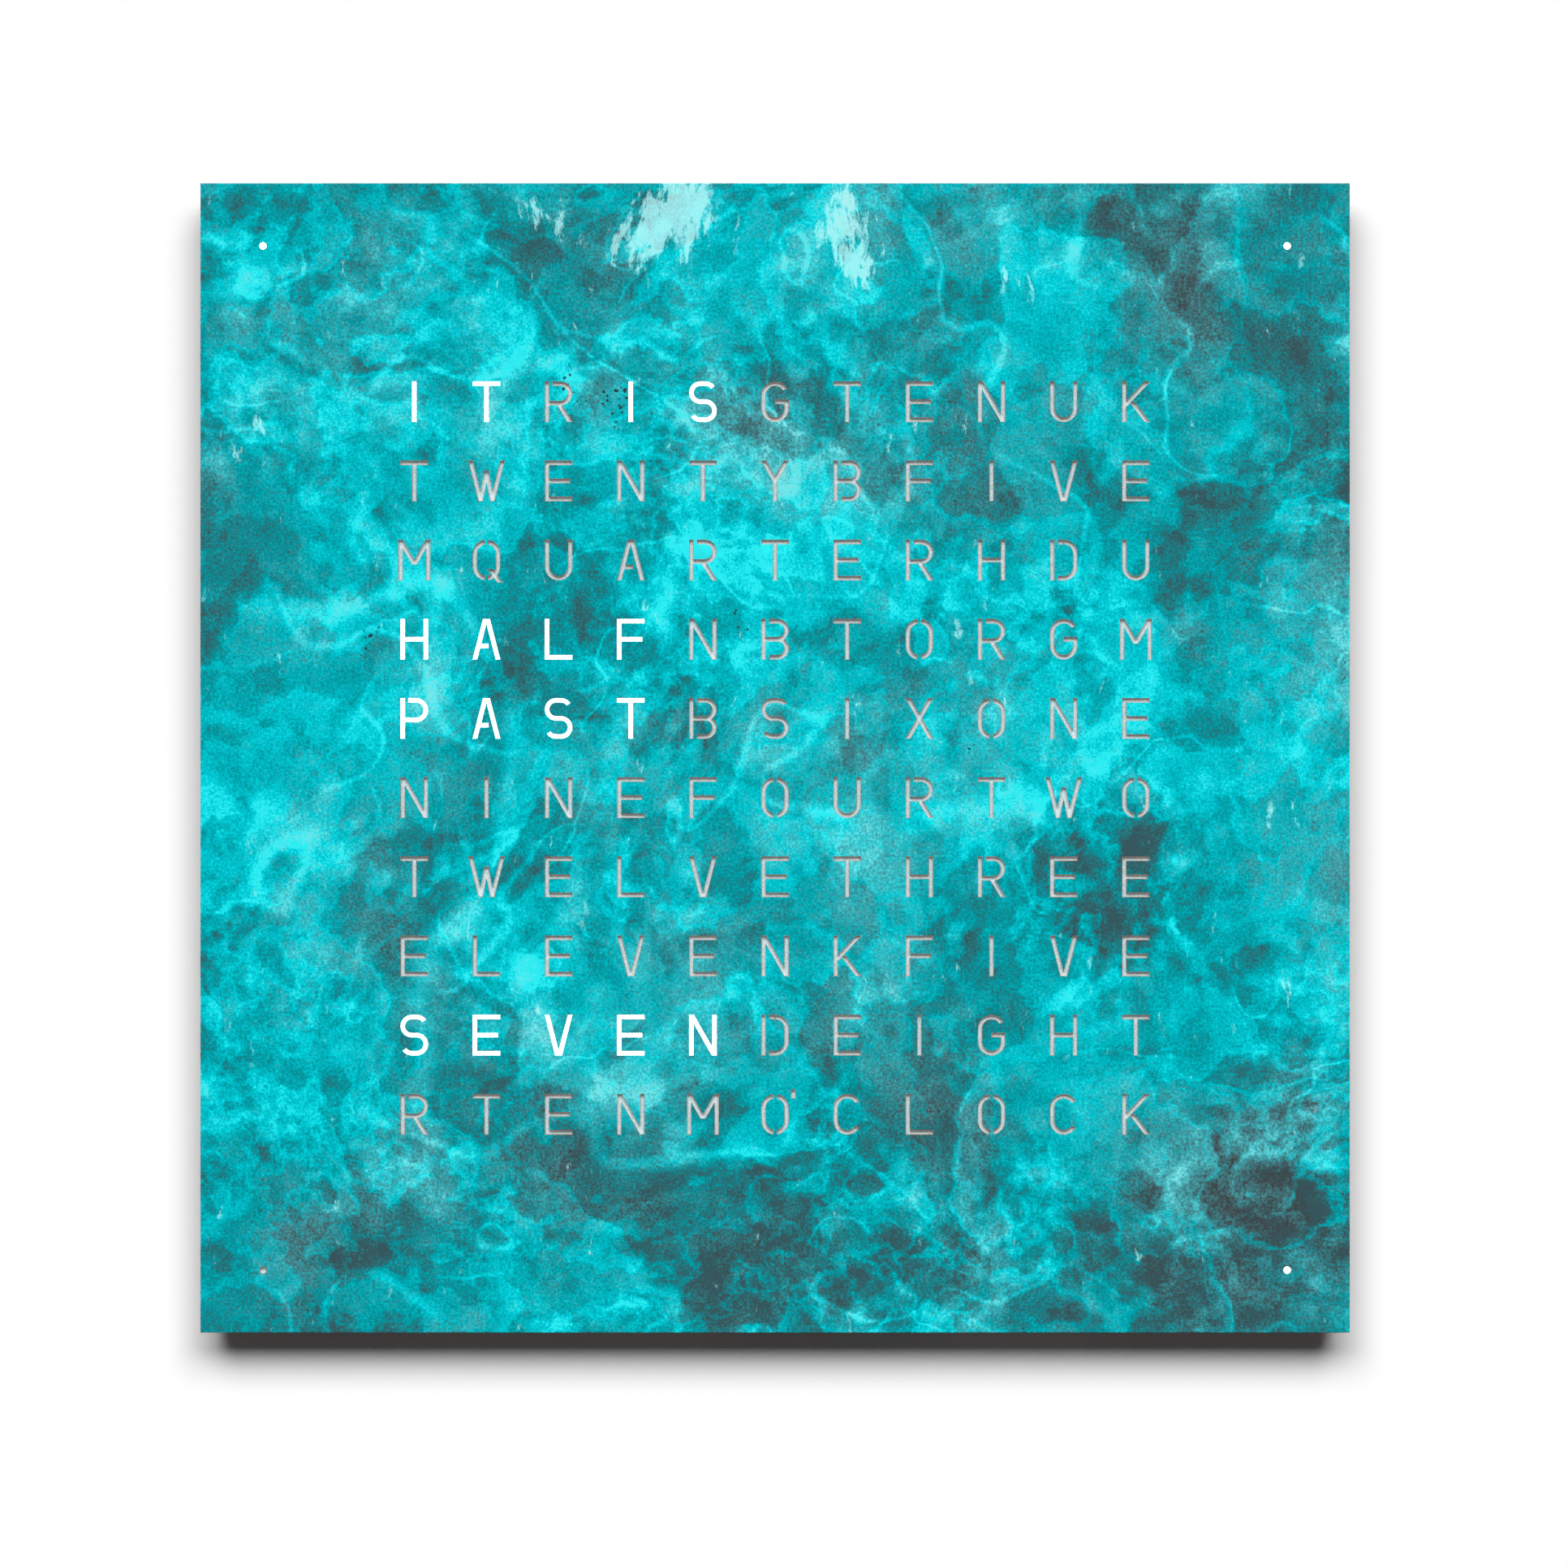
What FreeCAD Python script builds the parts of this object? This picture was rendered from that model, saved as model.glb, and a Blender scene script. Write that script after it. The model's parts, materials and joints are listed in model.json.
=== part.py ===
import FreeCAD, Part
import Sketcher
import math
import os
import re

# Word clock: a square metal cover with a matrix of letter-shaped cut-outs, held by magnets on a flat
# body that hangs on two screws. Seen from the front, X is right and Z is up; the cover faces -Y and
# the wall is the plane Y = 0. The origin is the middle of the clock on the wall plane. Millimetres.

Vector = FreeCAD.Vector

# The letters of the cover, from the top row down. An apostrophe after a letter shares its cell.
LETTER_ROWS = (
    "ITRISGTENUK",
    "TWENTYBFIVE",
    "MQUARTERHDU",
    "HALFNBTORGM",
    "PASTBSIXONE",
    "NINEFOURTWO",
    "TWELVETHREE",
    "ELEVENKFIVE",
    "SEVENDEIGHT",
    "RTENMO'CLOCK",
)

# ---------------------------------------------------------------------------------------------------
# Sizes: the sheet holds what can be set by itself, and Places holds what follows from it.
# ---------------------------------------------------------------------------------------------------

SIZES = {
    # letter matrix and cover
    "columns": len(LETTER_ROWS[0]),
    "rows": len(LETTER_ROWS),
    "column_pitch": 28.25,
    "row_pitch": 31.0,
    "cover_thickness": 1.5,
    "letter_width": 10.8,
    "letter_height": 15.9,
    "letter_line": 1.75,
    "letter_bridge": 1.3,
    "bend_chords": 2,
    "dot_inset": 24.5,
    "dot_radius": 1.45,
    # body panel
    "body_inset": 2.0,
    "body_depth": 17.5,
    "rear_bevel": 9.0,
    "ledge_width": 6.0,
    "rib_width": 8.0,
    "relief_depth": 3.0,
    "cut_overlap": 1.0,
    # diffuser, baffle grid and light board
    "diffuser_thickness": 1.5,
    "diffuser_gap": 0.2,
    "diffuser_lap": 5.0,
    "diffuser_clearance": 0.4,
    "baffle_depth": 8.0,
    "baffle_wall": 2.0,
    "board_thickness": 1.6,
    "board_margin": 7.0,
    "board_clearance": 0.5,
    "lamp_width": 5.0,
    "lamp_height": 1.4,
    # corner lamps and their leads
    "well_depth": 10.0,
    "corner_board_width": 12.4,
    "corner_board_clearance": 0.3,
    "corner_diffuser_width": 15.4,
    "corner_diffuser_clearance": 0.3,
    "lead_width": 3.6,
    "lead_thickness": 1.2,
    "lead_clearance": 0.7,
    "lead_overlap": 3.5,
    "lead_gap": 0.5,
    # cover magnets and the steel keepers that they hold
    "magnet_inset": 10.0,
    "magnet_height": 170.0,
    "magnet_width": 8.0,
    "magnet_length": 20.0,
    "magnet_thickness": 5.0,
    "magnet_clearance": 0.15,
    "keeper_width": 10.0,
    "keeper_length": 24.0,
    "keeper_thickness": 1.0,
    "keeper_clearance": 0.5,
    # electronics compartment, board and lid
    "compartment_middle": 100.0,
    "compartment_wall": 7.0,
    "controller_width": 120.0,
    "controller_height": 40.0,
    "controller_side_gap": 5.0,
    "controller_low_gap": 2.5,
    "controller_high_gap": 1.5,
    "post_width": 7.0,
    "post_low_inset": 4.5,
    "post_high_inset": 9.5,
    "lid_thickness": 1.2,
    "lid_gap": 0.1,
    "lid_side_lap": 8.0,
    "lid_end_lap": 3.0,
    "lid_clearance": 0.3,
    "lid_spacing": 1.5,
    "notch_width": 26.0,
    # flat cable between the two boards
    "cable_width": 20.0,
    "cable_thickness": 0.4,
    "cable_inset": 30.0,
    "connector_width": 24.0,
    "connector_height": 6.0,
    "connector_thickness": 2.0,
    "connector_inset": 1.0,
    # components on the controller board, placed from its middle where no end is named
    "microcontroller_width": 12.0,
    "microcontroller_across": 4.0,
    "microcontroller_up": 8.0,
    "chip_thickness": 1.4,
    "driver_width": 8.0,
    "driver_height": 6.0,
    "driver_pitch": 13.0,
    "driver_across": -32.0,
    "driver_up": 10.0,
    "cell_radius": 10.0,
    "cell_thickness": 3.2,
    "cell_clearance": 0.2,
    "cell_inset": 22.0,
    "cell_up": 5.5,
    "holder_width": 22.0,
    "holder_thickness": 5.0,
    "holder_rim": 1.0,
    "crystal_width": 8.0,
    "crystal_height": 3.2,
    "crystal_thickness": 2.4,
    "crystal_up": -3.0,
    "capacitor_radius": 4.0,
    "capacitor_height": 6.0,
    "capacitor_up": -6.0,
    "regulator_width": 6.5,
    "regulator_height": 3.5,
    "regulator_inset": 14.0,
    "regulator_up": 3.0,
    "terminal_width": 8.0,
    "terminal_height": 7.0,
    "terminal_thickness": 5.0,
    "terminal_inset": 10.0,
    # setting buttons on the lower edge
    "button_offset": 5.0,
    "button_pitch": 20.0,
    "button_radius": 2.5,
    "button_clearance": 0.2,
    "button_proud": 0.8,
    "button_travel": 0.5,
    "flange_width": 7.0,
    "flange_thickness": 1.0,
    "flange_gap": 0.2,
    "stem_width": 3.3,
    "stem_clearance": 0.1,
    "stem_gap": 2.6,
    "stem_engagement": 2.2,
    "stem_end_gap": 1.0,
    "switch_width": 7.0,
    "switch_height": 6.5,
    "switch_thickness": 6.9,
    "switch_axis": 3.4,
    # light sensor on the upper edge
    "sensor_pocket_width": 16.0,
    "sensor_pocket_top": 9.0,
    "sensor_board_width": 15.0,
    "sensor_board_gap": 0.5,
    "sensor_board_lap": 0.2,
    "sensor_drop": 2.8,
    "sensor_width": 4.0,
    "sensor_height": 3.2,
    "sensor_thickness": 4.4,
    "pipe_radius": 1.5,
    "pipe_clearance": 0.1,
    "pipe_inset": 0.1,
    # power inlet on the rear
    "channel_width": 16.0,
    "channel_depth": 11.5,
    "jack_width": 9.0,
    "jack_height": 14.0,
    "jack_clearance": 0.5,
    "jack_bore_radius": 3.2,
    "jack_bore_depth": 11.0,
    "jack_pin_radius": 1.0,
    "jack_pin_length": 9.0,
    "inlet_cover_width": 34.0,
    "inlet_cover_height": 16.0,
    "inlet_cover_thickness": 1.5,
    "inlet_cover_clearance": 0.2,
    "inlet_screw_spacing": 25.0,
    "power_lead_rise": 3.5,
    "power_lead_drop": 2.0,
    # wall fixings
    "hanger_inset": 38.0,
    "hanger_drop": 14.0,
    "hanger_width": 16.0,
    "hanger_length": 40.0,
    "hanger_thickness": 2.0,
    "hanger_clearance": 0.2,
    "hanger_screw_inset": 4.5,
    "keyhole_entry_radius": 4.75,
    "keyhole_slot_width": 4.6,
    "keyhole_rise": 9.0,
    "keyhole_drop": 4.0,
    "head_room_width": 12.0,
    "head_room_depth": 7.0,
    "bumper_inset": 33.0,
    "bumper_width": 12.0,
    "bumper_tip": 10.0,
    "bumper_seat": 1.0,
    "bumper_stand": 1.0,
    "bumper_clearance": 0.2,
    # screws
    "screw_sides": 6,
    "screw_radius": 1.1,
    "screw_head_radius": 2.1,
    "screw_head_height": 1.4,
    "screw_sink_depth": 1.0,
    "screw_length": 6.0,
    "screw_clearance": 0.1,
    "pilot_clearance": 0.4,
    "hanger_screw_radius": 1.5,
    "hanger_screw_head_radius": 2.9,
    "hanger_screw_length": 12.0,
}

PLACES = {
    # levels along Y, from the wall to the front
    "back_face": "-bumper_stand",
    "front_face": "back_face - body_depth",
    "cover_front": "front_face - cover_thickness",
    "diffuser_seat": "front_face + diffuser_gap + diffuser_thickness",
    "lamp_face": "diffuser_seat + baffle_depth",
    "board_back": "lamp_face + board_thickness",
    "relief_floor": "board_back + relief_depth",
    "well_floor": "front_face + well_depth",
    "lead_level": "well_floor - board_thickness",
    "lead_front": "lead_level - lead_thickness",
    "lid_seat": "front_face + lid_gap + lid_thickness",
    "keeper_back": "front_face + keeper_thickness",
    "magnet_back": "keeper_back + magnet_thickness",
    "button_level": "lead_level - switch_axis",
    "channel_floor": "back_face - channel_depth",
    "jack_cover_seat": "back_face - inlet_cover_thickness",
    "jack_level": "(channel_floor + jack_cover_seat) / 2",
    "hanger_seat": "back_face - hanger_thickness",
    "rear_sink": "back_face - screw_sink_depth",
    "bumper_floor": "back_face - bumper_seat",
    # outlines
    "matrix_width": "columns * column_pitch",
    "matrix_height": "rows * row_pitch",
    "compartment_height": "controller_height + controller_low_gap + controller_high_gap",
    "lid_height": "compartment_height + 2 * lid_end_lap",
    "electronics_margin": "body_inset + compartment_wall + lid_height - lid_end_lap + lid_spacing",
    "end_margin": "electronics_margin + diffuser_lap + board_clearance + board_margin",
    "cover_height": "matrix_height + 2 * end_margin",
    "cover_width": "cover_height",
    "body_width": "cover_width - 2 * body_inset",
    "body_height": "cover_height - 2 * body_inset",
    "body_side": "body_width / 2",
    "body_end": "body_height / 2",
    "board_width": "matrix_width + 2 * board_margin",
    "board_height": "matrix_height + 2 * board_margin",
    "bay_width": "board_width + 2 * board_clearance",
    "bay_height": "board_height + 2 * board_clearance",
    "rebate_width": "bay_width + 2 * diffuser_lap",
    "rebate_height": "bay_height + 2 * diffuser_lap",
    "relief_width": "bay_width / 2 - ledge_width - rib_width / 2",
    "relief_height": "bay_height / 2 - ledge_width - rib_width / 2",
    "relief_x": "rib_width / 2 + relief_width / 2",
    "relief_z": "rib_width / 2 + relief_height / 2",
    "board_screw_x": "board_width / 2 - board_margin / 2",
    "board_screw_z": "board_height / 2 - board_margin / 2",
    "dot_x": "cover_width / 2 - dot_inset",
    "dot_z": "cover_height / 2 - dot_inset",
    "well_width": "corner_board_width + 2 * corner_board_clearance",
    "lead_channel": "lead_width + 2 * lead_clearance",
    "magnet_x": "body_side - magnet_inset",
    # electronics compartment
    "compartment_width": "controller_width + 2 * controller_side_gap",
    "compartment_low": "-body_end + compartment_wall",
    "compartment_z": "compartment_low + compartment_height / 2",
    "compartment_top": "compartment_low + compartment_height",
    "compartment_end": "compartment_middle + compartment_width / 2",
    "compartment_start": "compartment_middle - compartment_width / 2",
    "controller_low": "compartment_low + controller_low_gap",
    "controller_z": "controller_low + controller_height / 2",
    "controller_top": "controller_low + controller_height",
    "controller_start": "compartment_middle - controller_width / 2",
    "controller_end": "compartment_middle + controller_width / 2",
    "lid_width": "compartment_width + 2 * lid_side_lap",
    "lid_screw_x": "compartment_width / 2 + lid_side_lap / 2",
    "lid_sink": "lid_seat - lid_thickness + screw_sink_depth",
    "notch_low": "compartment_top - cut_overlap",
    "notch_high": "-bay_height / 2 + ledge_width + cut_overlap",
    "cable_x": "controller_start + cable_inset",
    "cable_level": "board_back + connector_thickness / 2",
    "upper_connector_z": "-bay_height / 2 + ledge_width + connector_inset + connector_height / 2",
    "lower_connector_z": "controller_top - connector_inset / 2 - connector_height / 2",
    "cell_x": "controller_end - cell_inset",
    "cell_z": "controller_z + cell_up",
    # buttons
    "button_x": "compartment_middle - button_offset",
    "button_low": "-body_end - button_proud",
    "flange_low": "compartment_low + flange_gap",
    "flange_top": "flange_low + flange_thickness",
    "switch_low": "flange_top + stem_gap",
    "stem_top": "switch_low + stem_engagement",
    "switch_bore_top": "stem_top + button_travel + stem_end_gap",
    # light sensor
    "sensor_pocket_low": "dot_z - lead_channel / 2",
    "sensor_pocket_high": "body_end - sensor_pocket_top",
    "sensor_top": "sensor_pocket_high - sensor_drop",
    "sensor_board_low": "sensor_pocket_low + sensor_board_gap",
    "sensor_board_high": "sensor_top - sensor_board_lap",
    "pipe_level": "lead_level - sensor_thickness / 2",
    # power inlet
    "power_lead_z": "controller_top - power_lead_drop",
    "jack_low": "power_lead_z - power_lead_rise",
    "channel_length": "body_end + jack_low",
    "jack_z": "jack_low + jack_height / 2",
    "jack_bore_top": "jack_low + jack_bore_depth",
    "inlet_cover_z": "jack_low + inlet_cover_height / 2",
    "terminal_x": "controller_start + terminal_inset",
    # wall fixings
    "bumper_x": "body_side - bumper_inset",
    "bumper_z": "body_end - bumper_inset",
    "hanger_x": "body_side - hanger_inset",
    "hanger_z": "bumper_z - bumper_width / 2 - hanger_drop - hanger_length / 2",
    "hanger_screw_rise": "hanger_length / 2 - hanger_screw_inset",
    "keyhole_z": "hanger_z - keyhole_drop",
    "head_room_z": "keyhole_z + keyhole_rise / 2",
    "head_room_height": "keyhole_rise + head_room_width",
}

doc = FreeCAD.newDocument("WordClock")
sheet = doc.addObject("Spreadsheet::Sheet", "Sizes")
for row, (name, value) in enumerate(SIZES.items(), 1):
    sheet.set("A%d" % row, name)
    sheet.set("B%d" % row, str(value))
    sheet.setAlias("B%d" % row, name)
doc.recompute()


def link(formula):
    """Point each name in a formula at the sheet or at the places that follow from it."""
    def owner(match):
        word = match.group(0)
        if word in SIZES:
            return "Sizes." + word
        return "Places." + word if word in PLACES else word
    return re.sub(r"[A-Za-z_]\w*", owner, formula)


places = doc.addObject("App::VarSet", "Places")
for name, formula in PLACES.items():
    places.addProperty("App::PropertyFloat", name, "Places")
    places.setExpression(name, link(formula))
doc.recompute()


def size(name):
    """Read one size or place as a number."""
    return float(sheet.get(name)) if name in SIZES else getattr(places, name)


# ---------------------------------------------------------------------------------------------------
# Shapes whose sizes are bound to the sheet. All arguments with a size or a place are formulas.
# ---------------------------------------------------------------------------------------------------

TURN_TO_Y = FreeCAD.Rotation(Vector(1, 0, 0), -90)
CORNERS = (("-", "-"), ("-", ""), ("", ""), ("", "-"))
subparts = []


def bind(item, formulas):
    for setting, formula in formulas.items():
        item.setExpression(setting, link(formula))
    return item


def subpart(item, label):
    """Give a finished piece its name and put it on the list of what is written out."""
    item.Label = label
    subparts.append(item)
    return item


def block(label, x, y, z):
    """A block: x and z are (middle, size), and y is (front, back)."""
    return bind(doc.addObject("Part::Box", label), {
        "Length": x[1],
        "Width": "%s - (%s)" % (y[1], y[0]),
        "Height": z[1],
        "Placement.Base.x": "%s - (%s) / 2" % x,
        "Placement.Base.y": y[0],
        "Placement.Base.z": "%s - (%s) / 2" % z,
    })


def placed(item, x, y, z):
    return bind(item, {"Placement.Base.x": x, "Placement.Base.y": y, "Placement.Base.z": z})


def turned(label, along, across, start, end, radius):
    """A round piece along Y or Z."""
    item = doc.addObject("Part::Cylinder", label)
    bind(item, {"Radius": radius, "Height": "%s - (%s)" % (end, start)})
    if along == "z":
        return placed(item, across[0], across[1], start)
    item.Placement = FreeCAD.Placement(Vector(), TURN_TO_Y)
    return placed(item, across[0], start, across[1])


def faceted(label, across, steps):
    """A screw or its hole along Y, with few sides. Each step is (start, end, radius)."""
    prisms = []
    for start, end, radius in steps:
        prism = doc.addObject("Part::Prism", label + "_step")
        prism.Placement = FreeCAD.Placement(Vector(), TURN_TO_Y)
        prism.Polygon = int(size("screw_sides"))
        bind(prism, {"Circumradius": radius, "Height": "%s - (%s)" % (end, start)})
        prisms.append(placed(prism, across[0], start, across[1]))
    return fused(label, prisms) if len(prisms) > 1 else prisms[0]


def fused(label, items):
    union = doc.addObject("Part::MultiFuse", label)
    union.Shapes = items
    union.Refine = True
    return union


def group(label, items):
    """Separate solids that share one node."""
    bundle = doc.addObject("Part::Compound", label)
    bundle.Links = items
    return bundle


def cut(label, base, tools):
    result = doc.addObject("Part::Cut", label)
    result.Base = base
    result.Tool = tools[0] if len(tools) == 1 else fused(label + "_tools", tools)
    return result


def dimension(sketch, kind, where, formula):
    index = sketch.addConstraint(Sketcher.Constraint(kind, *where, 1.0))
    name = "size%d" % index
    sketch.renameConstraint(index, name)
    sketch.setExpression("Constraints." + name, link(formula))


def draw_rectangle(sketch, across, up, width, height):
    """A rectangle about its middle."""
    first = sketch.GeometryCount
    corners = (Vector(0, 0, 0), Vector(1, 0, 0), Vector(1, 1, 0), Vector(0, 1, 0))
    for index in range(4):
        sketch.addGeometry(Part.LineSegment(corners[index], corners[(index + 1) % 4]), False)
    for index in range(4):
        side = "Horizontal" if index % 2 == 0 else "Vertical"
        sketch.addConstraint(Sketcher.Constraint(side, first + index))
        sketch.addConstraint(
            Sketcher.Constraint("Coincident", first + index, 2, first + (index + 1) % 4, 1))
    dimension(sketch, "DistanceX", (-1, 1, first, 1), "%s - (%s) / 2" % (across, width))
    dimension(sketch, "DistanceY", (-1, 1, first, 1), "%s - (%s) / 2" % (up, height))
    dimension(sketch, "DistanceX", (first, 1, first, 2), width)
    dimension(sketch, "DistanceY", (first + 1, 1, first + 1, 2), height)


def draw_circle(sketch, across, up, radius):
    index = sketch.addGeometry(Part.Circle(Vector(0, 0, 0), Vector(0, 0, 1), 1), False)
    dimension(sketch, "DistanceX", (-1, 1, index, 3), across)
    dimension(sketch, "DistanceY", (-1, 1, index, 3), up)
    dimension(sketch, "Radius", (index,), radius)


def draw_upright_slot(sketch, across, up, width, height):
    """A slot with round ends, about its middle: two half circles and the lines between them."""
    top = Part.ArcOfCircle(Part.Circle(Vector(0, 1, 0), Vector(0, 0, 1), 1), 0, math.pi)
    low = Part.ArcOfCircle(Part.Circle(Vector(0, -1, 0), Vector(0, 0, 1), 1), math.pi, 2 * math.pi)
    left = Part.LineSegment(Vector(-1, 1, 0), Vector(-1, -1, 0))
    right = Part.LineSegment(Vector(1, -1, 0), Vector(1, 1, 0))
    first = sketch.GeometryCount
    for curve in (top, left, low, right):
        sketch.addGeometry(curve, False)
    for index in range(4):
        follows = first + (index + 1) % 4
        sketch.addConstraint(Sketcher.Constraint("Coincident", first + index, 2, follows, 1))
    for line in (first + 1, first + 3):
        sketch.addConstraint(Sketcher.Constraint("Vertical", line))
    for bend in (first, first + 2):
        for end in (1, 2):
            sketch.addConstraint(Sketcher.Constraint("Horizontal", bend, end, bend, 3))
    dimension(sketch, "DistanceX", (-1, 1, first, 3), across)
    dimension(sketch, "DistanceY", (-1, 1, first, 3), "%s + (%s - (%s)) / 2" % (up, height, width))
    dimension(sketch, "DistanceY", (first + 2, 3, first, 3), "%s - (%s)" % (height, width))
    dimension(sketch, "Radius", (first,), "(%s) / 2" % width)


DRAW = {"rectangle": draw_rectangle, "circle": draw_circle, "slot": draw_upright_slot}
# For each side that is worked on: the origin plane, the sign of its offset and the reversed cut.
SIDES = {
    "front": ("XZ_Plane", "-", False),
    "rear": ("XZ_Plane", "-", True),
    "top": ("XY_Plane", "", False),
    "bottom": ("XY_Plane", "", True),
}


def new_sketch(body, label, side, level, outlines):
    """Outlines on the body's own origin plane, moved to a level."""
    plane, sign, _ = SIDES[side]
    sketch = body.newObject("Sketcher::SketchObject", label + "_sketch")
    support = [item for item in body.Origin.OriginFeatures if item.Role == plane]
    sketch.AttachmentSupport = [(support[0], "")]
    sketch.MapMode = "FlatFace"
    bind(sketch, {"AttachmentOffset.Base.z": "%s(%s)" % (sign, level)})
    for kind, *formulas in outlines:
        DRAW[kind](sketch, *formulas)
    return sketch


def pad(body, label, level, length, outlines):
    """Raise outlines from a level towards the front."""
    feature = body.newObject("PartDesign::Pad", label)
    feature.Profile = new_sketch(body, label, "front", level, outlines)
    return bind(feature, {"Length": length})


def pocket(body, label, side, level, depth, outlines):
    """Cut outlines into the body from a level on one side."""
    feature = body.newObject("PartDesign::Pocket", label)
    feature.Profile = new_sketch(body, label, side, level, outlines)
    feature.Reversed = SIDES[side][2]
    return bind(feature, {"Length": depth})


def four(kind, across, up, *sizes):
    """The same outline in all four corners."""
    return [(kind, "%s(%s)" % (a, across), "%s(%s)" % (b, up)) + sizes for a, b in CORNERS]


# ---------------------------------------------------------------------------------------------------
# Letter outlines: strokes of one width, with bridges that hold the inside of each closed letter.
# ---------------------------------------------------------------------------------------------------


def line_stroke(start, end, width):
    """A straight stroke with square ends."""
    run = Vector(end[0] - start[0], 0, end[1] - start[1])
    side = Vector(-run.z, 0, run.x).normalize() * (width / 2)
    low = Vector(start[0], 0, start[1])
    high = Vector(end[0], 0, end[1])
    points = (low + side, high + side, high - side, low - side, low + side)
    return Part.Face(Part.makePolygon(points))


def slant_stroke(start, end, width):
    """A slanting stroke whose ends are level, as where it meets the top or foot of a letter."""
    rise = end[1] - start[1]
    half = width * math.hypot(end[0] - start[0], rise) / abs(rise) / 2
    points = [Vector(start[0] - half, 0, start[1]), Vector(end[0] - half, 0, end[1]),
              Vector(end[0] + half, 0, end[1]), Vector(start[0] + half, 0, start[1])]
    return Part.Face(Part.makePolygon(points + points[:1]))


def bend_points(centre, radius, first, last):
    """Points along a bend, a few to each quarter turn, between two angles from +X towards +Z."""
    steps = max(1, round(abs(last - first) / 90 * size("bend_chords")))
    turns = [math.radians(first + (last - first) * step / steps) for step in range(steps + 1)]
    return [Vector(centre[0] + radius * math.cos(turn), 0, centre[1] + radius * math.sin(turn))
            for turn in turns]


def arc_stroke(centre, radius, first, last, width):
    """A bend from one angle to another."""
    outer = bend_points(centre, radius + width / 2, first, last)
    inner = bend_points(centre, radius - width / 2, last, first)
    return Part.Face(Part.makePolygon(outer + inner + outer[:1]))


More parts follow.
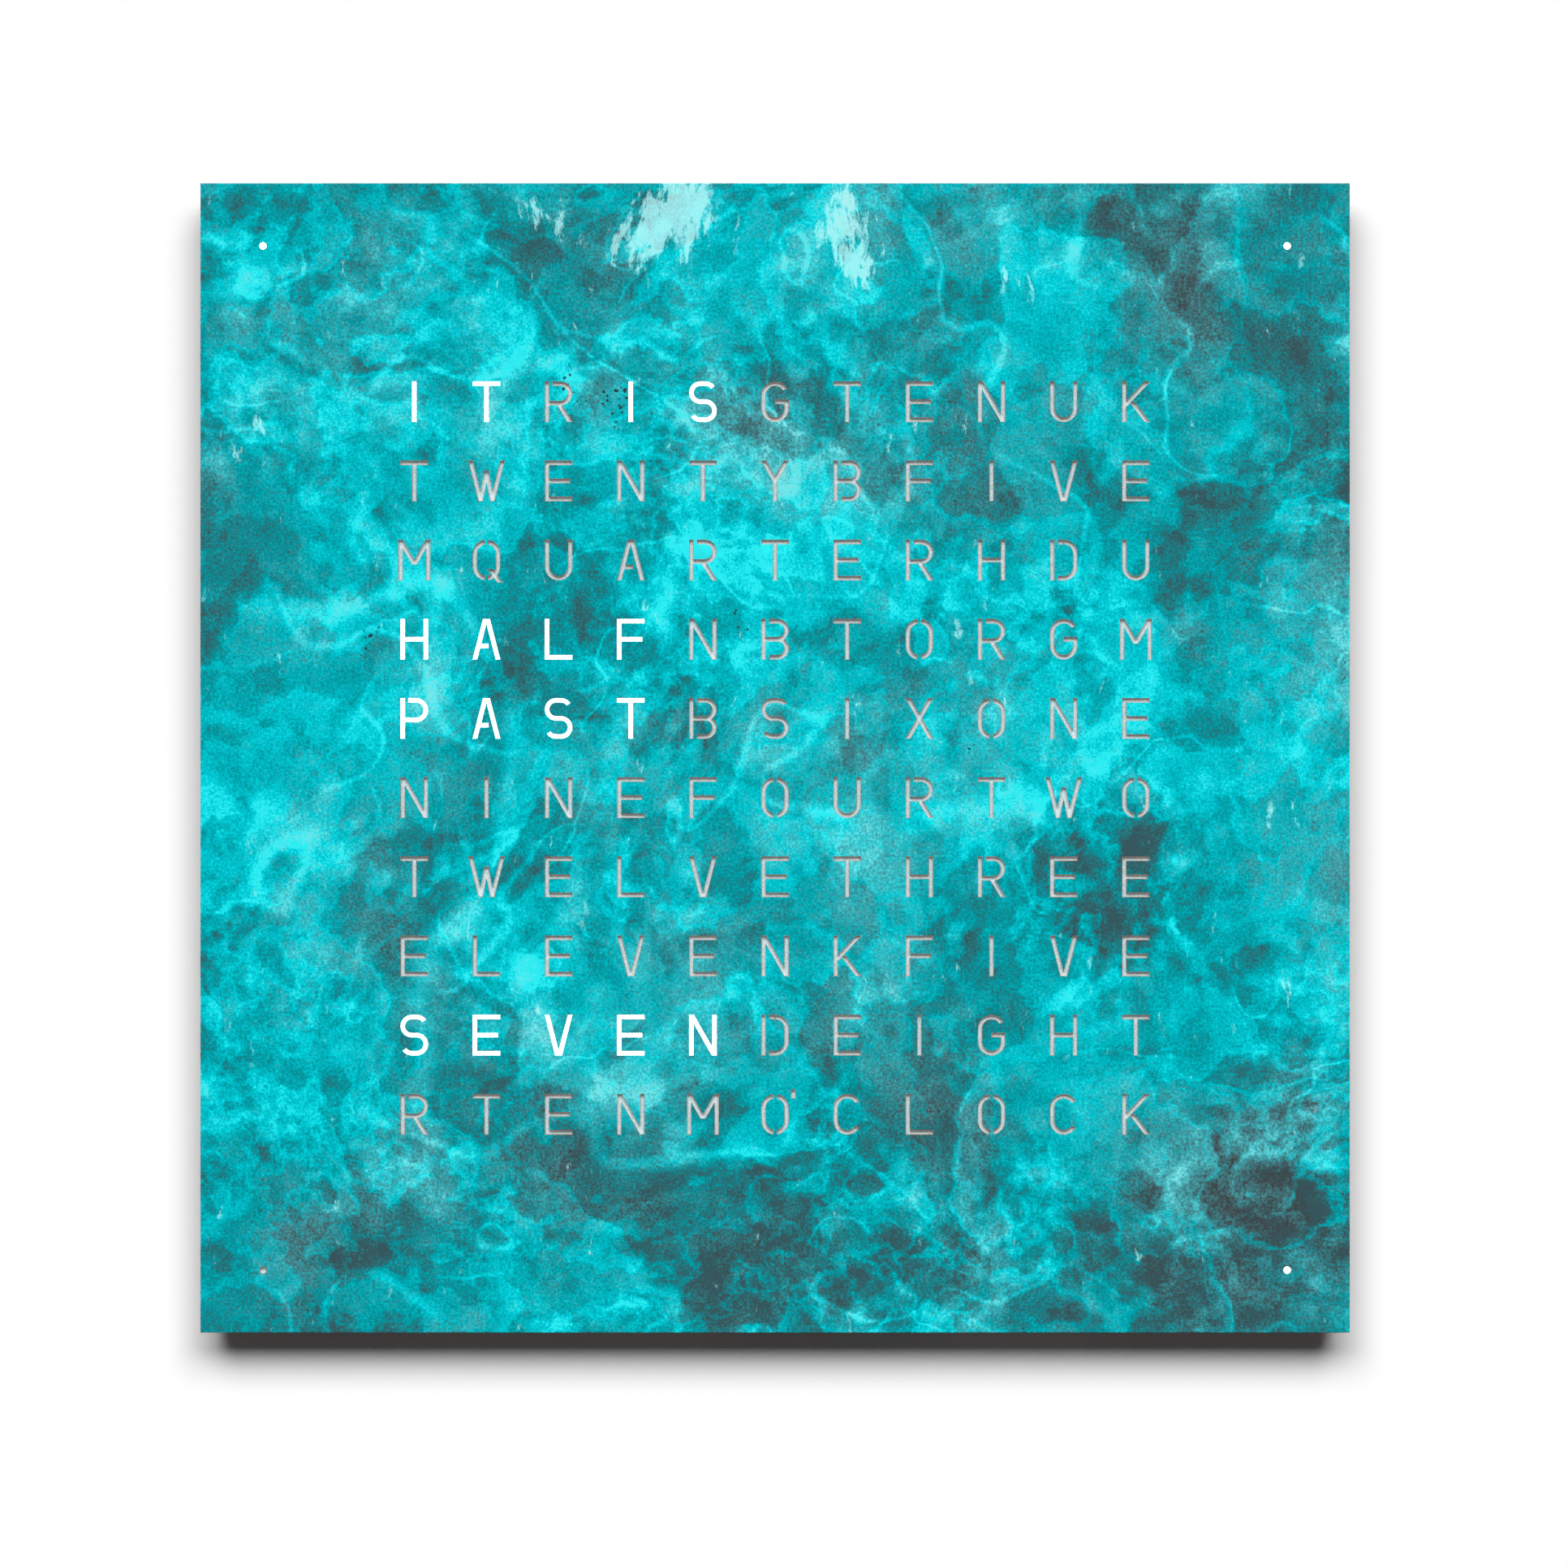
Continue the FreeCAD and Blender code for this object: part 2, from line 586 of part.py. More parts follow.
def letter_strokes(letter, width, height, line, bridge):
    """The strokes of one letter about its middle, for an outer width and height."""
    side, end = (width - line) / 2, (height - line) / 2      # centre lines of the outer strokes
    edge, top = width / 2, height / 2                        # the outer edges themselves
    bend = end / 2                                           # radius of the bowls of B, P, R and S
    gap = line / 2 + bridge                                  # from a stem's centre line past a bridge
    split = math.degrees(math.asin(bridge / 2 / side))       # half the angle of a bridge in a bend

    def bar(x0, z0, x1, z1):
        return line_stroke((x0, z0), (x1, z1), line)

    def slant(x0, z0, x1, z1):
        return slant_stroke((x0, z0), (x1, z1), line)

    def bow(x, z, radius, first, last):
        return arc_stroke((x, z), radius, first, last, line)

    def stem(x):
        return bar(x, -top, x, top)

    def bowl(upper, lower, lead_in, lead_out):
        """A bowl on the right of a stem, between two centre lines."""
        radius = (upper - lower) / 2
        turn = side - radius
        return [bar(-side + lead_in, upper, turn, upper), bar(-side + lead_out, lower, turn, lower),
                bow(turn, (upper + lower) / 2, radius, -90, 90)]

    round_z = end - side
    ring = [bow(0, round_z, side, 0, 90 - split), bar(side, -round_z, side, round_z),
            bow(0, -round_z, side, split - 90, 0), bow(0, round_z, side, 90 + split, 180),
            bar(-side, -round_z, -side, round_z), bow(0, -round_z, side, 180, 270 - split)]
    opening = 30                                             # where C and G start, above the middle
    crook = [bow(0, round_z, side, opening, 180), bar(-side, -round_z, -side, round_z)]
    p_bowl = bowl(end, -end / 12, gap, 0)
    waist = -height / 6                                      # the crossbar of A
    leg = side * (waist + top) / height                      # how far A's legs have come in there

    shapes = {
        "A": [slant(-side, -top, -line / 4, top), slant(side, -top, line / 4, top),
              bar(-side + leg, waist, side - leg - gap, waist)],
        "B": [stem(-side)] + bowl(end, 0, gap, 0) + bowl(0, -end, 0, gap),
        "C": crook + [bow(0, -round_z, side, 180, 360 - opening)],
        "D": [stem(-side), bar(-side + gap, end, 0, end), bow(0, round_z, side, 0, 90),
              bar(side, -round_z, side, round_z), bow(0, -round_z, side, 270, 360),
              bar(-side + gap, -end, 0, -end)],
        "E": [stem(-side), bar(-side, end, edge, end), bar(-side, 0, edge - line / 2, 0),
              bar(-side, -end, edge, -end)],
        "F": [stem(-side), bar(-side, end, edge, end), bar(-side, 0, edge - line / 2, 0)],
        "G": crook + [bow(0, -round_z, side, 180, 360), bar(side, -round_z, side, line / 2),
                      bar(0, 0, side, 0)],
        "H": [stem(-side), stem(side), bar(-side, 0, side, 0)],
        "I": [stem(0)],
        "K": [stem(-side), slant(-side, -line, side, top), slant(-side / 3, 0, side, -top)],
        "L": [stem(-side), bar(-side, -end, edge, -end)],
        "M": [stem(-side - line / 2), stem(side + line / 2),
              slant(-side - line / 2, top, 0, -line), slant(side + line / 2, top, 0, -line)],
        "N": [stem(-side), stem(side), slant(-side, top, side, -top)],
        "O": ring,
        "P": [stem(-side)] + p_bowl,
        "Q": ring + [slant(side / 3, -end / 2, edge, -top - line / 2)],
        "R": [stem(-side)] + p_bowl + [slant(0, -end / 12, side, -top)],
        "S": [bow(side - bend, bend, bend, 35, 90), bar(bend - side, end, side - bend, end),
              bow(bend - side, bend, bend, 90, 270), bar(bend - side, 0, side - bend, 0),
              bow(side - bend, -bend, bend, -90, 90), bar(bend - side, -end, side - bend, -end),
              bow(bend - side, -bend, bend, 215, 270)],
        "T": [stem(0), bar(-edge, end, edge, end)],
        "U": [bar(-side, -round_z, -side, top), bar(side, -round_z, side, top),
              bow(0, -round_z, side, 180, 360)],
        "V": [slant(-side, top, -line / 4, -top), slant(side, top, line / 4, -top)],
        "W": [slant(-edge - line / 2, top, -side / 2, -top), slant(-side / 2, -top, 0, top / 2),
              slant(0, top / 2, side / 2, -top), slant(side / 2, -top, edge + line / 2, top)],
        "X": [slant(-side, top, side, -top), slant(-side, -top, side, top)],
        "Y": [slant(-side, top, 0, 0), slant(side, top, 0, 0), bar(0, -top, 0, line)],
        "'": [bar(edge + line, top - line, edge + line, top + line)],
    }
    return shapes[letter]


def letter_wires(letter, *sizes):
    """The closed outlines of one letter, on the plane Y = 0."""
    slabs = [stroke.extrude(Vector(0, 1, 0)) for stroke in letter_strokes(letter, *sizes)]
    slab = slabs[0].multiFuse(slabs[1:]).removeSplitter() if len(slabs) > 1 else slabs[0]
    faces = [face for face in slab.Faces if face.BoundBox.YMax < 0.5]
    return [wire for face in faces for wire in face.Wires]


def letter_cells():
    """Each letter with the middle of its cell."""
    for row, text in enumerate(LETTER_ROWS):
        column = -1
        for letter in text:
            column += letter != "'"
            x = (column - (size("columns") - 1) / 2) * size("column_pitch")
            z = ((size("rows") - 1) / 2 - row) * size("row_pitch")
            yield letter, x, z


# ---------------------------------------------------------------------------------------------------
# Cover: the plate with its letters and minute dots, and the steel keepers behind it
# ---------------------------------------------------------------------------------------------------


def make_front_plate():
    """One sheet, cut right through along every letter outline and the four dots."""
    sizes = [size(name) for name in ("letter_width", "letter_height", "letter_line", "letter_bridge")]
    alphabet = {letter: letter_wires(letter, *sizes) for letter in sorted(set("".join(LETTER_ROWS)))}
    side, end = size("cover_width") / 2, size("cover_height") / 2
    edge = [Vector(x, 0, z) for x, z in ((-side, -end), (side, -end), (side, end), (-side, end))]
    wires = [Part.makePolygon(edge + edge[:1])]
    for letter, x, z in letter_cells():
        wires += [wire.translated(Vector(x, 0, z)) for wire in alphabet[letter]]
    for x in (-size("dot_x"), size("dot_x")):
        for z in (-size("dot_z"), size("dot_z")):
            wires.append(Part.makePolygon(bend_points((x, z), size("dot_radius"), 0, 360)))
    outlines = doc.addObject("Part::Feature", "plate_outlines")
    outlines.Shape = Part.makeCompound(wires)
    outlines.Placement = FreeCAD.Placement(Vector(0, size("cover_front"), 0), FreeCAD.Rotation())
    plate = doc.addObject("Part::Extrusion", "plate")
    plate.Base = outlines
    plate.Solid = True
    plate.FaceMakerClass = "Part::FaceMakerBullseye"
    plate.DirMode = "Custom"
    plate.Dir = Vector(0, 1, 0)
    subpart(bind(plate, {"LengthFwd": "cover_thickness"}), "front_plate")


def make_keeper_plates():
    keepers = [block("keeper", (a + "magnet_x", "keeper_width"), ("front_face", "keeper_back"),
                     (b + "magnet_height", "keeper_length")) for a, b in CORNERS]
    subpart(group("keepers", keepers), "keeper_plates")


# ---------------------------------------------------------------------------------------------------
# Body panel: one board, milled from the front, the rear and two of its edges
# ---------------------------------------------------------------------------------------------------


def make_body_panel():
    body = doc.addObject("PartDesign::Body", "panel")
    pad(body, "panel_board", "back_face", "body_depth",
        [("rectangle", "0", "0", "body_width", "body_height")])
    doc.recompute()
    bevel_rear_edges(body)
    mill_light_bay(body)
    mill_corners(body)
    mill_compartment(body)
    mill_edges(body)
    mill_rear(body)
    doc.recompute()
    subpart(cut("panel_drilled", body, pilot_holes()), "body_panel")


def bevel_rear_edges(body):
    """The bevel that lets the board seem to float off the wall."""
    board = body.Tip
    edges = ["Edge%d" % number for number, edge in enumerate(board.Shape.Edges, 1)
             if edge.BoundBox.YMin > size("back_face") - 0.01]
    bevel = body.newObject("PartDesign::Chamfer", "rear_bevel_feature")
    bevel.Base = (board, edges)
    bind(bevel, {"Size": "rear_bevel"})


def mill_light_bay(body):
    pocket(body, "diffuser_rebate", "front", "front_face", "diffuser_seat - front_face",
           [("rectangle", "0", "0", "rebate_width", "rebate_height")])
    pocket(body, "board_bay", "front", "front_face", "board_back - front_face",
           [("rectangle", "0", "0", "bay_width", "bay_height")])
    pocket(body, "board_relief", "front", "board_back", "relief_depth",
           four("rectangle", "relief_x", "relief_z", "relief_width", "relief_height"))


def mill_corners(body):
    """Wells for the corner lamps, the channels that join them, and seats for magnets and keepers."""
    corner_seat = "corner_diffuser_width + 2 * corner_diffuser_clearance"
    pocket(body, "corner_seats", "front", "front_face", "diffuser_seat - front_face",
           four("rectangle", "dot_x", "dot_z", corner_seat, corner_seat))
    pocket(body, "corner_wells", "front", "front_face", "well_depth",
           four("rectangle", "dot_x", "dot_z", "well_width", "well_width"))
    reach_x, reach_z = "2 * dot_x - well_width / 2", "2 * dot_z - well_width / 2"
    channel_depth = "lead_level - front_face"
    pocket(body, "side_channels", "front", "front_face", channel_depth,
           [("rectangle", sign + "dot_x", "0", "lead_channel", reach_z) for sign in ("-", "")])
    pocket(body, "top_channel", "front", "front_face", channel_depth,
           [("rectangle", "0", "dot_z", reach_x, "lead_channel")])
    pocket(body, "corner_channel", "front", "front_face", channel_depth,
           [("rectangle", "(dot_x + compartment_end) / 2", "-dot_z", "dot_x - compartment_end",
             "lead_channel")])
    pocket(body, "keeper_seats", "front", "front_face", "keeper_thickness",
           four("rectangle", "magnet_x", "magnet_height", "keeper_width + 2 * keeper_clearance",
                "keeper_length + 2 * keeper_clearance"))
    pocket(body, "magnet_seats", "front", "keeper_back", "magnet_thickness",
           four("rectangle", "magnet_x", "magnet_height", "magnet_width + 2 * magnet_clearance",
                "magnet_length + 2 * magnet_clearance"))


def mill_compartment(body):
    """The electronics compartment, its lid seat and board posts, and the ways into it."""
    pocket(body, "lid_rebate", "front", "front_face", "lid_seat - front_face",
           [("rectangle", "compartment_middle", "compartment_z", "lid_width + 2 * lid_clearance",
             "lid_height + 2 * lid_clearance")])
    pocket(body, "compartment", "front", "front_face", "relief_floor - front_face",
           [("rectangle", "compartment_middle", "compartment_z", "compartment_width",
             "compartment_height")])
    pad(body, "board_posts", "relief_floor", "relief_floor - well_floor",
        [("rectangle", x, z, "post_width", "post_width") for x, z in post_places()])
    pocket(body, "cable_notch", "front", "front_face", "relief_floor - front_face",
           [("rectangle", "cable_x", "(notch_low + notch_high) / 2", "notch_width",
             "notch_high - notch_low")])
    pocket(body, "power_channel", "front", "front_face", "lead_level - front_face",
           [("rectangle", "(compartment_start + jack_width / 2) / 2", "power_lead_z",
             "compartment_start - jack_width / 2 + cut_overlap", "lead_channel")])
    pocket(body, "sensor_pocket", "front", "front_face", "well_depth",
           [("rectangle", "0", "(sensor_pocket_low + sensor_pocket_high) / 2",
             "sensor_pocket_width", "sensor_pocket_high - sensor_pocket_low")])


def mill_edges(body):
    """Bores in the lower edge for the buttons and in the upper edge for the light pipe."""
    pocket(body, "button_bores", "bottom", "-body_end", "compartment_wall + cut_overlap",
           [("circle", x, "button_level", "button_radius + button_clearance")
            for x in button_places().values()])
    pocket(body, "pipe_bore", "top", "body_end", "sensor_pocket_top + cut_overlap",
           [("circle", "0", "pipe_level", "pipe_radius + pipe_clearance")])


def mill_rear(body):
    """The power inlet's channel and seats, and the seats of the hangers and bumpers."""
    pocket(body, "inlet_cover_seat", "rear", "back_face", "inlet_cover_thickness",
           [("rectangle", "0", "inlet_cover_z", "inlet_cover_width + 2 * inlet_cover_clearance",
             "inlet_cover_height + 2 * inlet_cover_clearance")])
    pocket(body, "jack_seat", "rear", "back_face", "channel_depth",
           [("rectangle", "0", "jack_z", "jack_width + 2 * jack_clearance",
             "jack_height + 2 * jack_clearance")])
    pocket(body, "cable_channel", "rear", "back_face", "channel_depth",
           [("rectangle", "0", "-body_end + channel_length / 2", "channel_width", "channel_length")])
    pocket(body, "hanger_seats", "rear", "back_face", "hanger_thickness",
           [("rectangle", sign + "hanger_x", "hanger_z", "hanger_width + 2 * hanger_clearance",
             "hanger_length + 2 * hanger_clearance") for sign in ("-", "")])
    pocket(body, "head_rooms", "rear", "hanger_seat", "head_room_depth",
           [("rectangle", sign + "hanger_x", "head_room_z", "head_room_width", "head_room_height")
            for sign in ("-", "")])
    seat_width = "bumper_width + 2 * bumper_clearance"
    pocket(body, "bumper_seats", "rear", "back_face", "bumper_seat",
           four("rectangle", "bumper_x", "bumper_z", seat_width, seat_width))


def pilot_holes():
    """The holes that the screws bite into: (places, mouth, far end, screw radius)."""
    short = "screw_length - board_thickness + pilot_clearance"
    sets = (
        (board_screw_places(), "board_back", "board_back + " + short, "screw_radius"),
        (post_places(), "well_floor", "well_floor + " + short, "screw_radius"),
        (lid_screw_places(), "lid_seat", "lid_seat + screw_length", "screw_radius"),
        (inlet_screw_places(), "jack_cover_seat - screw_length", "jack_cover_seat", "screw_radius"),
        (hanger_screw_places(), "hanger_seat - hanger_screw_length", "hanger_seat",
         "hanger_screw_radius"),
    )
    return [faceted("pilot_hole", place, [(front, back, radius + " + screw_clearance")])
            for spots, front, back, radius in sets for place in spots]


def board_screw_places():
    return [(a + "board_screw_x", b + "board_screw_z") for a, b in CORNERS]


def post_places():
    return [(x, z) for x in ("controller_start + post_width / 2", "controller_end - post_width / 2")
            for z in ("controller_low + post_low_inset", "controller_top - post_high_inset")]


def lid_screw_places():
    return [("compartment_middle %s lid_screw_x" % sign, "compartment_z") for sign in "-+"]


def inlet_screw_places():
    return [(sign + "inlet_screw_spacing / 2", "inlet_cover_z") for sign in ("-", "")]


def hanger_screw_places():
    return [("%shanger_x" % a, "hanger_z %s hanger_screw_rise" % b) for a in ("-", "") for b in "-+"]


def button_places():
    return {
        "hours": "button_x - button_pitch",
        "minutes": "button_x",
        "mode": "button_x + button_pitch",
    }


# ---------------------------------------------------------------------------------------------------
# Light engine: board with lamps, baffle grid and diffuser
# ---------------------------------------------------------------------------------------------------


def make_board(label, x, y, z, hole_places):
    """A circuit board with clearance holes for its screws."""
    holes = [faceted(label + "_hole", place, [("%s - cut_overlap" % y[0], "%s + cut_overlap" % y[1],
                                               "screw_radius + screw_clearance")])
             for place in hole_places]
    subpart(cut(label + "_drilled", block(label + "_blank", x, y, z), holes), label)


def make_screws(label, places_xz, face):
    """Pan-head screws driven from the front into the body panel."""
    screws = [faceted(label + "_one", place,
                      [("%s - screw_head_height" % face, face, "screw_head_radius"),
                       (face, "%s + screw_length" % face, "screw_radius")]) for place in places_xz]
    subpart(group(label + "_set", screws), label)


def make_lamps():
    """One lamp on the board behind each letter."""
    lamp = Part.makeBox(size("lamp_width"), size("lamp_height"), size("lamp_width"),
                        Vector(-size("lamp_width") / 2, -size("lamp_height"), -size("lamp_width") / 2))
    lamps = doc.addObject("Part::Feature", "lamps")
    lamps.Shape = Part.makeCompound(
        [lamp.translated(Vector(x, 0, z)) for letter, x, z in letter_cells() if letter != "'"])
    lamps.Placement = FreeCAD.Placement(Vector(0, size("lamp_face"), 0), FreeCAD.Rotation())
    subpart(lamps, "letter_lamps")


def make_baffle_grid():
    """A square cell around each lamp, so that no light strays to the next letter."""
    grid = doc.addObject("PartDesign::Body", "grid")
    pad(grid, "grid_block", "lamp_face", "baffle_depth",
        [("rectangle", "0", "0", "matrix_width + baffle_wall", "matrix_height + baffle_wall")])
    cell = pocket(grid, "grid_cell", "front", "diffuser_seat", "baffle_depth",
                  [("rectangle", "(column_pitch - matrix_width) / 2", "(row_pitch - matrix_height) / 2",
                    "column_pitch - baffle_wall", "row_pitch - baffle_wall")])
    doc.recompute()
    cells = grid.newObject("PartDesign::MultiTransform", "grid_cells")
    cells.Originals = [cell]
    across = grid.newObject("PartDesign::LinearPattern", "cells_across")
    across.Direction = (cell.Profile[0], ["H_Axis"])
    across.Occurrences = int(size("columns"))
    bind(across, {"Length": "matrix_width - column_pitch"})
    up = grid.newObject("PartDesign::LinearPattern", "cells_up")
    up.Direction = (cell.Profile[0], ["V_Axis"])
    up.Occurrences = int(size("rows"))
    bind(up, {"Length": "matrix_height - row_pitch"})
    cells.Transformations = [across, up]
    grid.Tip = cells
    subpart(grid, "baffle_grid")


def make_light_engine():
    make_board("lamp_board", ("0", "board_width"), ("lamp_face", "board_back"),
               ("0", "board_height"), board_screw_places())
    make_screws("lamp_board_screws", board_screw_places(), "lamp_face")
    make_lamps()
    make_baffle_grid()
    sheet_front = "diffuser_seat - diffuser_thickness"
    subpart(block("diffuser", ("0", "rebate_width - 2 * diffuser_clearance"),
                  (sheet_front, "diffuser_seat"),
                  ("0", "rebate_height - 2 * diffuser_clearance")), "diffuser_sheet")


# ---------------------------------------------------------------------------------------------------
# Corner lamps, their leads, the light sensor and the cover magnets
# ---------------------------------------------------------------------------------------------------


def make_corner_lamps():
    layers = (
        ("corner_boards", "lead_level", "well_floor", "corner_board_width"),
        ("corner_lamps", "lead_level - lamp_height", "lead_level", "lamp_width"),
        ("corner_diffusers", "diffuser_seat - diffuser_thickness", "diffuser_seat",
         "corner_diffuser_width"),
    )
    for name, front, back, width in layers:
        squares = [block(name + "_one", (a + "dot_x", width), (front, back), (b + "dot_z", width))
                   for a, b in CORNERS]
        subpart(group(name + "_set", squares), name)


def make_leads():
    """Flat leads on the channel floors, from the controller round three sides to the last corner."""
    level = ("lead_front", "lead_level")
    clear = "(lamp_width / 2 + lead_gap)"
    rise = "2 * (dot_z - %s)" % clear
    from_board = "controller_end - lead_overlap"
    first_run = "dot_x - %s - (%s)" % (clear, from_board)
    leads = [
        block("first_lead", ("%s + (%s) / 2" % (from_board, first_run), first_run), level,
              ("-dot_z", "lead_width")),
        block("right_lead", ("dot_x", "lead_width"), level, ("0", rise)),
        block("top_lead", ("0", "2 * (dot_x - %s)" % clear), level, ("dot_z", "lead_width")),
        block("left_lead", ("-dot_x", "lead_width"), level, ("0", rise)),
    ]
    subpart(group("lead_set", leads), "corner_leads")


def make_light_sensor():
    """The sensor that dims the clock looks up through a light pipe in the upper edge."""
    middle, height = "(sensor_board_low + sensor_board_high) / 2", "sensor_board_high - sensor_board_low"
    subpart(block("sensor_board_blank", ("0", "sensor_board_width"), ("lead_level", "well_floor"),
                  (middle, height)), "sensor_board")
    subpart(block("sensor", ("0", "sensor_width"), ("lead_level - sensor_thickness", "lead_level"),
                  ("sensor_top - sensor_height / 2", "sensor_height")), "light_sensor")
    subpart(turned("pipe", "z", ("0", "pipe_level"), "sensor_top", "body_end - pipe_inset",
                   "pipe_radius"), "light_pipe")


def make_cover_magnets():
    magnets = [block("magnet", (a + "magnet_x", "magnet_width"), ("keeper_back", "magnet_back"),
                     (b + "magnet_height", "magnet_length")) for a, b in CORNERS]
    subpart(group("magnet_set", magnets), "cover_magnets")


# ---------------------------------------------------------------------------------------------------
# Controller board, its components, the flat cable and the lid
# ---------------------------------------------------------------------------------------------------


def on_board(label, x, z, width, height, thickness):
    """A component on the front of the controller board, given from the middle of the board."""
    return block(label, ("compartment_middle + (%s)" % x, width),
                 ("lead_level - (%s)" % thickness, "lead_level"), ("controller_z + (%s)" % z, height))


def make_controller():
    make_board("controller_board", ("compartment_middle", "controller_width"),
               ("lead_level", "well_floor"), ("controller_z", "controller_height"), post_places())
    make_screws("controller_screws", post_places(), "lead_level")
    subpart(on_board("processor", "microcontroller_across", "microcontroller_up",
                     "microcontroller_width", "microcontroller_width", "chip_thickness"),
            "microcontroller")
    chips = [on_board("driver", "driver_across + %d * driver_pitch" % number, "driver_up",
                      "driver_width", "driver_height", "chip_thickness") for number in range(3)]
    subpart(group("driver_set", chips), "driver_chips")
    subpart(on_board("crystal", "microcontroller_across", "crystal_up", "crystal_width",
                     "crystal_height", "crystal_thickness"), "clock_crystal")
    subpart(on_board("regulator", "regulator_inset - controller_width / 2", "regulator_up",
                     "regulator_width", "regulator_height", "chip_thickness"), "voltage_regulator")
    capacitor = ("controller_start + regulator_inset", "controller_z + capacitor_up")
    subpart(turned("capacitor", "y", capacitor, "lead_level - capacitor_height", "lead_level",
                   "capacitor_radius"), "smoothing_capacitor")
    subpart(block("terminal", ("terminal_x + terminal_width / 2", "terminal_width"),
                  ("lead_level - terminal_thickness", "lead_level"),
                  ("controller_top - terminal_height / 2", "terminal_height")), "power_terminal")
    make_coin_cell()


def make_coin_cell():
    """The cell that keeps the time when the clock is unplugged, in its open holder."""
    holder = block("holder_blank", ("cell_x", "holder_width"),
                   ("lead_level - holder_thickness", "lead_level"), ("cell_z", "holder_width"))
    seat = turned("holder_seat", "y", ("cell_x", "cell_z"),
                  "lead_level - holder_thickness - cut_overlap", "lead_level - holder_rim",
                  "cell_radius + cell_clearance")
    subpart(cut("holder", holder, [seat]), "cell_holder")
    subpart(turned("cell", "y", ("cell_x", "cell_z"), "lead_level - holder_rim - cell_thickness",
                   "lead_level - holder_rim", "cell_radius"), "coin_cell")


def make_flat_cable():
    """Connectors on the backs of the two boards and the flat cable between them."""
    cable_back = "cable_level + cable_thickness / 2"
    upper = block("upper_connector", ("cable_x", "connector_width"),
                  ("board_back", "board_back + connector_thickness"),
                  ("upper_connector_z", "connector_height"))
    lower = block("lower_connector", ("cable_x", "connector_width"),
                  ("well_floor", "board_back + connector_thickness"),
                  ("lower_connector_z", "connector_height"))
    subpart(group("connector_pair", [upper, lower]), "cable_connectors")
    high = "upper_connector_z - connector_height / 2"
    low = "lower_connector_z + connector_height / 2"
    subpart(block("cable", ("cable_x", "cable_width"), ("cable_level - cable_thickness / 2", cable_back),
                  ("(%s + %s) / 2" % (high, low), "%s - (%s)" % (high, low))), "board_cable")


def make_lid():
    """The lid over the compartment, with a sunk screw at each end."""
    front = "lid_seat - lid_thickness"
    holes = [faceted("lid_hole", place,
                     [(front, "lid_sink", "screw_head_radius + screw_clearance"),
                      ("lid_sink", "lid_seat + cut_overlap", "screw_radius + screw_clearance")])
             for place in lid_screw_places()]
    lid = block("lid_blank", ("compartment_middle", "lid_width"), (front, "lid_seat"),
                ("compartment_z", "lid_height"))
    subpart(cut("lid", lid, holes), "electronics_cover")
    screws = [faceted("lid_screw", place,
                      [(front, "lid_sink", "screw_head_radius"),
                       ("lid_sink", "%s + screw_length" % front, "screw_radius")])
              for place in lid_screw_places()]
    subpart(group("lid_screw_set", screws), "electronics_cover_screws")


# ---------------------------------------------------------------------------------------------------
# Buttons: a cap in the lower edge pushes a stem into its switch
# ---------------------------------------------------------------------------------------------------


def make_buttons():
    def square_bar(label, x, width, low, high):
        """A square bar along Z on a button's axis."""
        return block(label, (x, width), ("button_level - (%s) / 2" % width,
                                         "button_level + (%s) / 2" % width),
                     ("(%s + %s) / 2" % (low, high), "%s - (%s)" % (high, low)))

    switches = []
    for name, x in button_places().items():
        case = block(name + "_switch", (x, "switch_width"),
                     ("lead_level - switch_thickness", "lead_level"),
                     ("switch_low + switch_height / 2", "switch_height"))
        bore = square_bar(name + "_switch_bore", x, "stem_width + 2 * stem_clearance",
                          "switch_low - cut_overlap", "switch_bore_top")
        switches.append(cut(name + "_switch_case", case, [bore]))
        cap = turned(name + "_cap", "z", (x, "button_level"), "button_low", "flange_low",
                     "button_radius")
        flange = square_bar(name + "_flange", x, "flange_width", "flange_low", "flange_top")
        subpart(fused(name + "_cap_and_flange", [cap, flange]), name + "_button")
        subpart(square_bar(name + "_stem", x, "stem_width", "flange_top", "stem_top"),
                name + "_switch_stem")
    subpart(group("switch_set", switches), "button_switches")


# ---------------------------------------------------------------------------------------------------
# Power inlet: a socket that looks down into the cable channel of the rear
# ---------------------------------------------------------------------------------------------------


def rear_screw(place, length, radius, head_radius):
    """A screw driven from the rear, its head sunk flush with the body's rear face."""
    return faceted("rear_screw", place, [("back_face - " + length, "rear_sink", radius),
                                         ("rear_sink", "back_face", head_radius)])


def rear_screw_hole(place, seat, radius, head_radius):
    """The stepped hole for such a screw, through a plate that lies on a seat in the rear."""
    return faceted("rear_hole", place, [(seat + " - cut_overlap", "rear_sink",
                                         radius + " + screw_clearance"),
                                        ("rear_sink", "back_face", head_radius + " + screw_clearance")])


